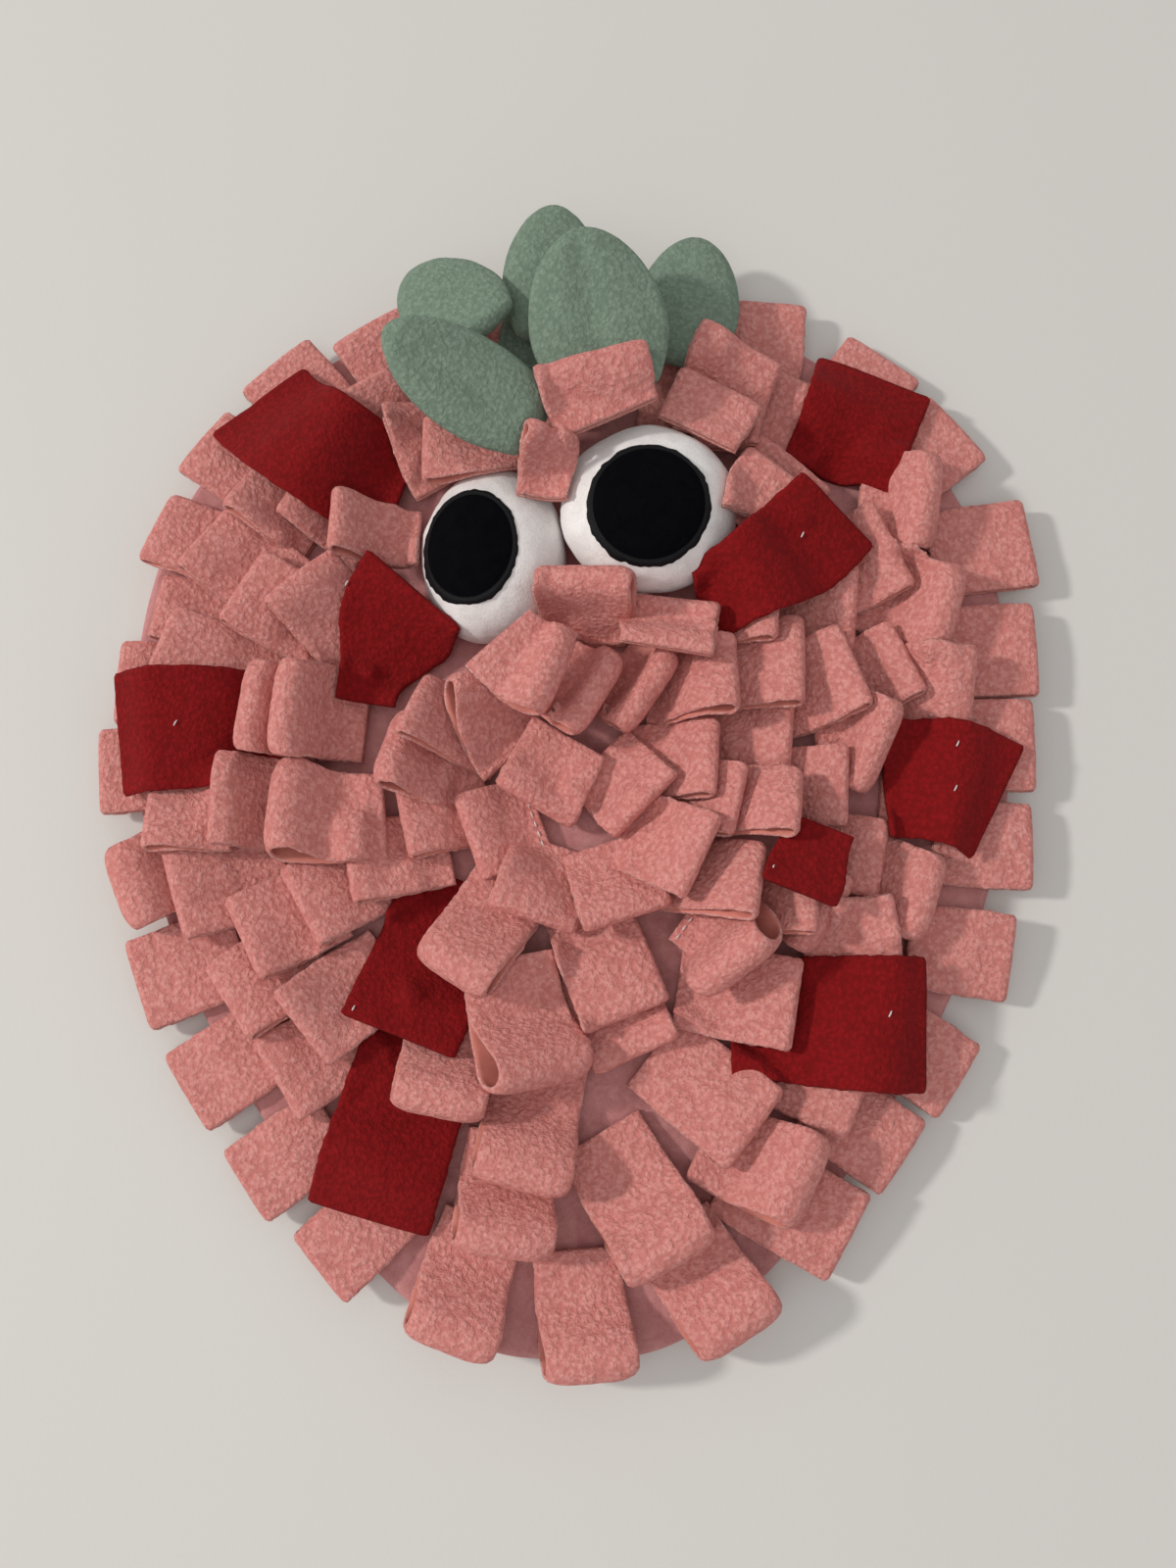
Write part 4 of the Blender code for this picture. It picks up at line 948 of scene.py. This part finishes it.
def cloth_mesh(name, grid, half_thick, two_sided=False):
    """A closed sheet of cloth round its grid of middle points, with a lumpy pile and rough cut edges."""
    rows, columns = grid.shape[:2]
    inward = unit(np.cross(np.gradient(grid, axis=0), np.gradient(grid, axis=1)))
    sideways = unit(np.gradient(grid, axis=1))
    thick = np.full(columns, half_thick)
    thick[[0, -1]] *= EDGE_THIN
    thick = thick[None, :, None]
    inner = grid + inward * (thick + FUZZ * FUZZ_INSIDE * lumps(grid, FUZZ_SIZE, 1)[..., None])
    outer = grid - inward * (thick + FUZZ * lumps(grid, FUZZ_SIZE, 2)[..., None])
    rim = []
    for column, side in ((0, -1), (columns - 1, 1)):
        edge = grid[:, column]
        rough = RIM_OUT + RIM_FRAY * lumps(edge, RIM_FRAY_SIZE, 3) + RIM_WAVE * lumps(edge, RIM_WAVE_SIZE, 4)
        rim.append(edge + side * sideways[:, column] * rough[:, None])
    points = np.concatenate([inner.reshape(-1, 3), outer.reshape(-1, 3), *rim])
    a = np.arange(rows * columns).reshape(rows, columns)
    b = a + rows * columns
    r0 = 2 * rows * columns + np.arange(rows)
    r1 = r0 + rows

    def quads(*corners):
        return np.stack(corners, axis=-1).reshape(-1, 4)

    faces = [
        quads(a[:-1, :-1], a[1:, :-1], a[1:, 1:], a[:-1, 1:]),
        quads(b[:-1, :-1], b[:-1, 1:], b[1:, 1:], b[1:, :-1]),
        quads(a[1:, 0], a[:-1, 0], r0[:-1], r0[1:]),
        quads(r0[1:], r0[:-1], b[:-1, 0], b[1:, 0]),
        quads(a[:-1, -1], a[1:, -1], r1[1:], r1[:-1]),
        quads(r1[:-1], r1[1:], b[1:, -1], b[:-1, -1]),
        quads(a[0, :-1], a[0, 1:], b[0, 1:], b[0, :-1]),
        quads(a[-1, 1:], a[-1, :-1], b[-1, :-1], b[-1, 1:]),
    ]
    corners = [
        (r0[0], a[0, 0], b[0, 0]), (a[0, -1], r1[0], b[0, -1]),
        (a[-1, 0], r0[-1], b[-1, 0]), (r1[-1], a[-1, -1], b[-1, -1]),
    ]
    sizes = [len(block) for block in faces]
    faces = np.concatenate(faces).tolist() + [tuple(int(k) for k in corner) for corner in corners]
    mesh = new_mesh(name, points, faces)
    if two_sided:
        # The inner side takes the second material and the outer side the first. The cut edges and ends take
        # the third, which for a loop is painted lighter as a highlight.
        kind = np.full(len(faces), 2)
        kind[:sizes[0]] = 1
        kind[sizes[0]:sizes[0] + sizes[1]] = 0
        mesh.polygons.foreach_set("material_index", kind)
    return mesh


def new_mesh(name, points, faces):
    """A smooth mesh of points in mm."""
    mesh = bpy.data.meshes.new(name)
    mesh.from_pydata((np.asarray(points) * MM).tolist(), [], faces)
    mesh.shade_smooth()
    return mesh


def new_piece(mesh, materials, nodes):
    """An object of the mesh that rides on the mat and stands for the CAD nodes."""
    piece = bpy.data.objects.new(mesh.name, mesh)
    bpy.context.scene.collection.objects.link(piece)
    for material in materials:
        mesh.materials.append(material)
    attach(piece, "root")
    if nodes:
        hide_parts(*nodes)
    return piece


# -------- rings of points, for stuffed pieces
def ring_faces(count, rows, at=0):
    """The faces through rings of this many points, with an end point before and behind them."""
    steps = [(k, (k + 1) % count) for k in range(count)]
    first, last = at + 1, at + 1 + (rows - 1) * count
    faces = [(at, first + after, first + k) for k, after in steps]
    for row in range(first, last, count):
        faces += [(row + k, row + after, row + count + after, row + count + k) for k, after in steps]
    return faces + [(last + k, last + after, last + count) for k, after in steps]


def ring_mesh(name, rings, first, last):
    """A closed form through rings of points, from one end point to the other."""
    return new_mesh(name, np.concatenate([[first], *rings, [last]]), ring_faces(len(rings[0]), len(rings)))


def rough_up(mesh, amount, size, seed):
    """Push every point along its normal by smooth noise, mm."""
    points = np.array([vertex.co for vertex in mesh.vertices]) / MM
    normals = np.array([vertex.normal for vertex in mesh.vertices])
    points += normals * (amount * lumps(points, size, seed))[:, None]
    mesh.vertices.foreach_set("co", (points * MM).reshape(-1))
    mesh.update()


def make_stuffed(name, rings, first, last, uneven, material, node):
    """A stuffed piece through rings of points, uneven by lumps of several sizes."""
    mesh = ring_mesh(name, rings, first, last)
    for amount, size, seed in uneven:
        rough_up(mesh, amount, size, seed)
    seen_heap.lay(finer(np.array(rings)).reshape(-1, 3))
    new_piece(mesh, [material], [node])


# -------- leaves
LEAF_ROWS = 44
LEAF_SPOKES = 44
LEAF_WIDEST = 0.40  # share of the length where a leaf is widest
LEAF_ROOT = 0.62  # its width at the root
LEAF_END = 0.58  # under a half its end is blunt, over a half it is drawn out
LEAF_ROUND_ROOT = 0.05  # its corners at the root are rounded over this share of its length
LEAF_THIN_ROOT = 0.08  # it gets thin over this share at its root
LEAF_THIN_END = 0.12  # and over this share at its point
LEAF_FULL = 0.8  # under 1 its cut is fuller than an oval
CREASE_WIDE = 0.2  # half the width of a crease, as a share of the leaf's half
CREASE_BELOW = 0.3  # share of its depth that shows on the underside
SEAM_STEP = 0.7  # the sewn edge that runs down one side stands back by this, mm
SEAM_WIDE = 0.05
LIFT_ROUNDS = 100  # a leaf is lifted step by step at its root and its point
LIFT_SHARE = 0.7  # by this share of what it lacks
LIFT_CLEAR = 0.05
# How uneven stuffed pieces are: height and size of the lumps, mm, and the seed of their noise, to
# which a leaf adds its number.
LEAF_UNEVEN = ((0.6, 22, 10), (0.12, 2.4, 20))
EYE_UNEVEN = ((0.9, 15, 31), (0.2, 2.6, 32))


def clear_of_heap(points, root, point):
    """How far a leaf has to come up at its root and at its point to clear the heap."""
    need = seen_heap.under(points) + LIE_GAP - points[:, 2]
    way = point - root
    share = np.clip((points[:, :2] - root) @ way / (way @ way), 0, 1)
    lift_root = lift_point = 0.0
    for _ in range(LIFT_ROUNDS):
        short = need - lift_root * (1 - share) - lift_point * share
        if short.max() < LIFT_CLEAR:
            break
        both = (1 - share) ** 2 + share ** 2
        lift_root += LIFT_SHARE * max(0.0, (short * (1 - share) / both).max())
        lift_point += LIFT_SHARE * max(0.0, (short * share / both).max())
    return lift_root, lift_point


def leaf_half(share):
    """Half the width of a leaf, as a share of its widest, from the root at 0 to the point at 1."""
    if share < LEAF_WIDEST:
        return LEAF_ROOT + (1 - LEAF_ROOT) * math.sin(math.pi / 2 * share / LEAF_WIDEST)
    beyond = (share - LEAF_WIDEST) / (1 - LEAF_WIDEST)
    return (1 - beyond ** 2) ** LEAF_END


def pole_height(node, x, y):
    """Height of a CAD leaf where it comes to a point in plan, mm."""
    corners = np.array([vertex.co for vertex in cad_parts[node].data.vertices]) / MM
    return corners[np.argmin(np.hypot(corners[:, 0] - x, corners[:, 1] - y)), 2]


def leaf_rings(leaf, heights):
    """The rings of a leaf from its root to its point, and the two ends."""
    root, point = np.array([leaf.root_x, leaf.root_y]), np.array([leaf.point_x, leaf.point_y])
    way = point - root
    left = leftward(math.degrees(math.atan2(way[1], way[0])))
    turns = np.linspace(0, 2 * math.pi, LEAF_SPOKES, endpoint=False)
    across = np.cos(turns)
    bulge = np.sign(np.sin(turns)) * np.abs(np.sin(turns)) ** LEAF_FULL
    rings = []
    for row in range(1, LEAF_ROWS):
        share = 0.5 - 0.5 * math.cos(math.pi * row / LEAF_ROWS)
        half = leaf_half(share) * leaf.width / 2 * min(1.0, math.sqrt(share / LEAF_ROUND_ROOT))
        full = min(1.0, math.sqrt(share / LEAF_THIN_ROOT)) * min(1.0, math.sqrt((1 - share) / LEAF_THIN_END))
        z = bulge * leaf.thick / 2 * full
        fade = math.sin(math.pi * share) ** 0.5
        dip = leaf.crease * np.exp(-((across - leaf.off) / CREASE_WIDE) ** 2) * fade
        step = SEAM_STEP * np.exp(-((across - leaf.seam) / SEAM_WIDE) ** 2) * fade
        z = np.where(bulge > 0, z - dip - step, z + CREASE_BELOW * dip)
        z = z + heights[0] * (1 - share) + heights[1] * share
        plan = root + way * share + left[None, :] * (across * half)[:, None]
        rings.append(np.column_stack([plan, z]))
    return rings, np.array([*root, heights[0]]), np.array([*point, heights[1]])


def make_leaf(number):
    """A stuffed leaf between the ends of its CAD solid, lifted where it would sink into the loops."""
    name = f"leaf_{number}"
    leaf = LEAVES[name]
    heights = [pole_height(name, leaf.root_x, leaf.root_y), pole_height(name, leaf.point_x, leaf.point_y)]
    rings, first, last = leaf_rings(leaf, heights)
    lift = clear_of_heap(np.concatenate(rings), first[:2], last[:2])
    heights = [height + min(more, MOST_LIFT) for height, more in zip(heights, lift)]
    uneven = [(amount, size, seed + number) for amount, size, seed in LEAF_UNEVEN]
    rings, first, last = leaf_rings(leaf, heights)
    make_stuffed("stuffed_" + name, rings, first, last, uneven, GREEN_FLEECE, name)


# -------- eyes
EYE_SPOKES = 96
EYE_ROWS = 48
ROUNDER = 0.86  # an eye is fuller than a ball
DOME_FULL = 0.95  # and its sides are steeper
# Rings of a pupil's top, as shares of the way out, and those of its underside.
PUPIL_TOP = (0.12, 0.25, 0.4, 0.55, 0.7, 0.8)
PUPIL_BACK = (0.8, 0.6, 0.4, 0.2)
PUPIL_HIGH = 0.95  # it lies this far over the dome, mm
PUPIL_LOW = -0.5  # and its underside this far, sunk into the plush
PUPIL_RIM = 1.9  # width of the sewn edge of a pupil, mm
# The sewn edge: how far in from the outline, as shares of its width, and how far over the dome.
RIM_PROFILE = ((1.15, 0.9), (1.0, 0.7), (0.8, 0.95), (0.5, 1.1), (0.25, 1.0), (0.0, 0.65))
RIM_FOOT = ((0.1, 0.1), (-0.2, -0.5))  # its foot: how far out and how far over the dome, mm
PUPIL_FRAY = 0.45  # its outline is uneven by this, where the plush lies over it
PUPIL_WITHIN = 0.985  # its edge follows the dome no further out than this


def eye_height(eye, out):
    """Height of the dome over its widest line, this share of the way out."""
    sine = np.clip(out, 0, 1) ** (1 / ROUNDER)
    return eye.height * np.sqrt(np.clip(1 - sine ** 2, 0, 1)) ** DOME_FULL


def eye_out(eye, x, y):
    """How far out from the middle of an eye a place lies, as a share."""
    turn = math.radians(eye.turn)
    dx, dy = x - eye.x, y - eye.y
    across = (dx * math.cos(turn) + dy * math.sin(turn)) / eye.half_x
    up = (dy * math.cos(turn) - dx * math.sin(turn)) / eye.half_y
    return np.hypot(across, up)


def make_eye(side, eye):
    """A stuffed dome of plush. Returns the height of its widest line."""
    name = "eye_" + side
    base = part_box(name)[0].z / MM + EYE_BELOW
    turn = math.radians(eye.turn)
    spokes = np.linspace(0, 2 * math.pi, EYE_SPOKES, endpoint=False)
    rings = []
    for row in range(1, EYE_ROWS):
        down = math.pi * row / EYE_ROWS
        out = math.sin(down) ** ROUNDER
        z = eye_height(eye, out) if down < math.pi / 2 else EYE_BELOW * math.cos(down)
        x, y = out * eye.half_x * np.cos(spokes), out * eye.half_y * np.sin(spokes)
        rings.append(np.column_stack([
            eye.x + x * math.cos(turn) - y * math.sin(turn),
            eye.y + x * math.sin(turn) + y * math.cos(turn),
            np.full(EYE_SPOKES, base + z),
        ]))
    top, bottom = ((eye.x, eye.y, base + height) for height in (eye.height, -EYE_BELOW))
    make_stuffed("plush_" + name, rings, top, bottom, EYE_UNEVEN, WHITE_PLUSH, name)
    return base


def make_pupil(side, eye, base):
    """A velvet patch on the eye, with its edge sewn down in close satin stitches."""
    spokes = np.linspace(0, 2 * math.pi, EYE_SPOKES, endpoint=False)
    half = np.array([eye.pupil_half_x, eye.pupil_half_y])
    least = half.min()
    profile = [(least * (share - 1), PUPIL_HIGH) for share in PUPIL_TOP]
    profile += [(-PUPIL_RIM * share, above) for share, above in RIM_PROFILE] + list(RIM_FOOT)
    profile += [(least * (share - 1), PUPIL_LOW) for share in PUPIL_BACK]
    rings = []
    circle = np.column_stack([np.cos(spokes), np.sin(spokes), np.zeros(EYE_SPOKES)]) * least
    fray = PUPIL_FRAY * (lumps(circle, 1.7, 41) + 0.7 * lumps(circle, 6, 42))
    for inset, above in profile:
        wide = 1 + (inset + fray * (inset > -PUPIL_RIM / 2)) / least
        x = eye.pupil_x + half[0] * wide * np.cos(spokes)
        y = eye.pupil_y + half[1] * wide * np.sin(spokes)
        z = base + eye_height(eye, np.minimum(eye_out(eye, x, y), PUPIL_WITHIN)) + above
        rings.append(np.column_stack([x, y, z]))
    top = base + eye_height(eye, eye_out(eye, eye.pupil_x, eye.pupil_y))
    poles = [(eye.pupil_x, eye.pupil_y, top + above) for above in (PUPIL_HIGH, PUPIL_LOW)]
    mesh = ring_mesh("velvet_pupil_" + side, rings, *poles)
    rim_rows = len(RIM_PROFILE) + len(RIM_FOOT)
    first_rim = 1 + len(PUPIL_TOP) * EYE_SPOKES
    last_rim = first_rim + (rim_rows - 1) * EYE_SPOKES
    for face in mesh.polygons:
        face.material_index = int(all(first_rim <= corner < last_rim for corner in face.vertices))
    seen_heap.lay(finer(np.array(rings[:len(PUPIL_TOP) + rim_rows])).reshape(-1, 3))
    piece = new_piece(mesh, [BLACK_VELVET, SATIN_RIM], ["pupil_" + side])


# -------- the mat
MAT_SPOKES = 6  # points of the outline for each of the CAD's
# Rings of its level top, as shares of the way out, and those of its underside.
MAT_TOP = (0.15, 0.35, 0.55, 0.7, 0.82, 0.9, 0.95)
MAT_BELOW = (0.9, 0.6, 0.3)
MAT_EDGE_ROWS = 15
GROOVE = 0.7  # depth of the sewn line round its edge, mm
GROOVE_WIDE = 0.16  # half its width, radians round the edge


def make_mat(outline):
    """The velour pad: a rounded edge with a sewn line round its middle, level above and below."""
    ring = curve_through(outline, MAT_SPOKES)
    way = unit(np.roll(ring, -1, axis=0) - np.roll(ring, 1, axis=0))
    inward = np.column_stack([-way[:, 1], way[:, 0]])
    if np.sum(inward * ring) > 0:
        inward = -inward

    def level(plan, height):
        return np.column_stack([plan, np.full(len(plan), height)])

    rings = [level(ring * share, PAD_THICK) for share in MAT_TOP]
    for turn in np.radians(np.linspace(90, -90, MAT_EDGE_ROWS)):
        inset = PAD_EDGE_RADIUS * (1 - math.cos(turn)) + GROOVE * math.exp(-(turn / GROOVE_WIDE) ** 2)
        rings.append(level(ring + inward * inset, PAD_THICK / 2 * (1 + math.sin(turn))))
    rings += [level(ring * share, 0.0) for share in MAT_BELOW]
    centre = ring.mean(axis=0)
    mesh = ring_mesh("velour_mat", rings, (*centre, PAD_THICK), (*centre, 0.0))
    new_piece(mesh, [VELOUR], ["pad"])


# -------- thread
THREAD = 0.32  # half the thickness of the white thread, mm
THREAD_SIDES = 6
STITCH = 2.6  # length of one stitch
STITCH_STEP = 3.9
STITCH_BOW = 0.35  # its middle stands up by this
# Rings of a stitch: how far along it they lie, and their size, as shares.
STITCH_RINGS = ((0.08, 0.7), (0.5, 1.0), (0.92, 0.7))


def stitch_points(start, end):
    """One stitch as a small bowed stick, from end to end."""
    way = end - start
    side = unit(np.cross(way, [0, 0, 1.0]))
    up = unit(np.cross(side, way))
    turns = np.linspace(0, 2 * math.pi, THREAD_SIDES, endpoint=False)
    points = [start]
    for share, size in STITCH_RINGS:
        middle = start + way * share + up * STITCH_BOW * math.sin(math.pi * share)
        points += [*(middle + THREAD * size * (np.cos(turns)[:, None] * side + np.sin(turns)[:, None] * up))]
    return points + [end]


def sew_line(name, lines):
    """White stitches along lines of points, all of them one piece."""
    points, faces = [], []
    for line in lines:
        steps = np.linalg.norm(np.diff(line, axis=0), axis=1)
        far = np.concatenate([[0], np.cumsum(steps)])
        for start in np.arange(1.0, far[-1] - STITCH, STITCH_STEP):
            ends = [np.array([np.interp(place, far, line[:, axis]) for axis in range(3)])
                    for place in (start, start + STITCH)]
            faces += ring_faces(THREAD_SIDES, len(STITCH_RINGS), len(points))
            points += stitch_points(*ends)
    new_piece(new_mesh(name, points, faces), [WHITE_THREAD], [])


# -------- all pieces, in the order they are sewn
# Where the tack stitches lie that show on a tab.
TACKS = {
    "tab_3": [(86, 85)], "tab_4": [(143, 7), (141, -10)], "tab_5": [(113, -92)], "tab_6": [(71, -41)],
    "tab_7": [(-147, 14)], "tab_8": [(-86, 69)], "tab_9": [(-79, -90)],
}
TACK = 1.1  # half the length of a tack stitch, mm
TACK_ABOVE = 0.15  # it lies this far over the cloth
# The loops whose sewn line shows, by section.
SEAMS_SEEN = {"third_6": [2], "inner_4": [2], "middle_6": [1]}
SEAM_ABOVE = 0.1  # that line lies this far over the cloth

laid_heap = Heap()      # as the CAD has it
seen_heap = Heap()      # as it is seen


def make_cloth(mesh, materials, node, grid, half_thick):
    """A piece of cloth that rests on the mat, laid onto the heap as it is seen."""
    piece = new_piece(mesh, materials, [node])
    seen_heap.lay(finer(grid).reshape(-1, 3), half_thick)


def make_section(name, folds):
    """The loops of one section, and the sewn lines of those where it shows."""
    below = seen_heap.top.copy()
    seams = []
    for number, (piece, places, heights) in enumerate(lay_section(folds, laid_heap), 1):
        grid, upper = loop_grid(piece, places, heights, seen_heap, below)
        mesh = cloth_mesh(f"{name}_loop_{number}", grid, CLOTH / 2, two_sided=True)
        cloths = [PINK_FLEECE, PINK_BACK, PINK_EDGE_HIGHLIGHT]
        make_cloth(mesh, cloths, name, grid, HALF_THICK)
        if number in SEAMS_SEEN.get(name, []):
            seam = upper[int(round(ROOT_ZONE / FINE))].copy()
            seam[:, 2] += CLOTH / 2 + SEAM_ABOVE
            seams.append(seam)
    if seams:
        sew_line(f"seam_{name}", seams)


def make_tab(number):
    """A red tab, and its tack stitches."""
    name = f"tab_{number}"
    tab = TABS[name]
    piece, places, heights = lay_tab(tab, laid_heap)
    grid = tab_grid(piece, places, heights, tab.root_width, seen_heap)
    mesh = cloth_mesh(f"red_{name}", grid[:, ::-1], TAB_CLOTH / 2)
    make_cloth(mesh, [RED_FLEECE], name, grid, TAB_HALF_THICK)
    tacks = []
    for x, y in TACKS.get(name, []):
        flat = grid.reshape(-1, 3)
        nearest = flat[np.argmin(np.hypot(flat[:, 0] - x, flat[:, 1] - y))]
        height = nearest[2] + TAB_CLOTH / 2 + TACK_ABOVE
        tacks.append(np.array([[x + end * TACK, y + end * 2 * TACK, height] for end in (-1, 1)]))
    if tacks:
        sew_line(f"tack_{name}", tacks)


outline = pad_outline()
lay_pad(laid_heap, outline)
lay_pad(seen_heap, outline)
make_mat(outline)
for side, eye in EYES.items():
    lay_node("eye_" + side, laid_heap)
    lay_node("pupil_" + side, laid_heap)
    make_pupil(side, eye, make_eye(side, eye))

# The rows of loops from the outermost to the middle, with the tabs and leaves that lie on each.
Layer = namedtuple("Layer", "sections tabs leaves")
ORDER = [
    Layer(OUTER_ROW, (), ()), Layer(SECOND_ROW, (10, 7), (4, 3, 6, 1, 5)),
    Layer(THIRD_ROW, (1, 2, 4, 5, 9), ()), Layer(INNER_ROW, (), (2,)),
    Layer(CROWN_ROW, (3, 8, 6), ()), Layer(MIDDLE_ROW, (), ()),
]
for layer in ORDER:
    for name, folds in layer.sections.items():
        make_section(name, folds)
    for number in layer.tabs:
        make_tab(number)
    for number in layer.leaves:
        lay_node(f"leaf_{number}", laid_heap)
        make_leaf(number)

# -------- floor, light and camera, in metres
FLOOR_HALF = 2.5
FLOOR_LOW = -0.0002  # the floor is a hair under the mat
LENS = 30.0  # mm
CAMERA_PLACE = (0.0055, -0.0923, 0.5005)
CAMERA_TILT = 10  # degrees towards the broad end


def floor_material():
    """A matt light surface."""
    made = Nodes("floor")
    made.bump(made.noise(1.4, 2.0), 0.12, 0.4)
    return made.finish((0.70, 0.685, 0.66), 0.45, 0.0, (1.0, 1.0, 1.0), 0.3)


def add_light(name, size, power, place, colour):
    """A round lamp that looks at the origin."""
    light = bpy.data.lights.new(name, "AREA")
    light.shape = "DISK"
    light.size = size
    light.energy = power
    light.color = colour
    lamp = bpy.data.objects.new(name, light)
    lamp.location = place
    lamp.rotation_euler = (-Vector(place)).to_track_quat("-Z", "Y").to_euler()
    bpy.context.scene.collection.objects.link(lamp)


floor_mesh = bpy.data.meshes.new("floor")
corners = [(x * FLOOR_HALF, y * FLOOR_HALF, FLOOR_LOW) for x, y in ((-1, -1), (1, -1), (1, 1), (-1, 1))]
floor_mesh.from_pydata(corners, [], [(0, 1, 2, 3)])
floor_mesh.materials.append(floor_material())
floor = bpy.data.objects.new("floor", floor_mesh)
bpy.context.scene.collection.objects.link(floor)

add_light("key", 0.4, 84.0, (-3.3, 0.5, 2.35), (1.0, 0.97, 0.92))
add_light("fill", 1.8, 8.0, (-0.3, -0.6, 2.2), (1.0, 0.98, 0.96))

world = bpy.data.worlds.new("studio")
world.use_nodes = True
background = world.node_tree.nodes["Background"]
background.inputs["Color"].default_value = (0.98, 0.97, 0.96, 1.0)
background.inputs["Strength"].default_value = 0.49
bpy.context.scene.world = world
bpy.context.scene.view_settings.view_transform = "Standard"

camera_data = bpy.data.cameras.new("camera")
camera_data.sensor_fit = "AUTO"
camera_data.sensor_width = 36.0
camera_data.lens = LENS
camera = bpy.data.objects.new("camera", camera_data)
camera.location = CAMERA_PLACE
camera.rotation_euler = (math.radians(CAMERA_TILT), 0.0, 0.0)
bpy.context.scene.collection.objects.link(camera)
bpy.context.scene.camera = camera
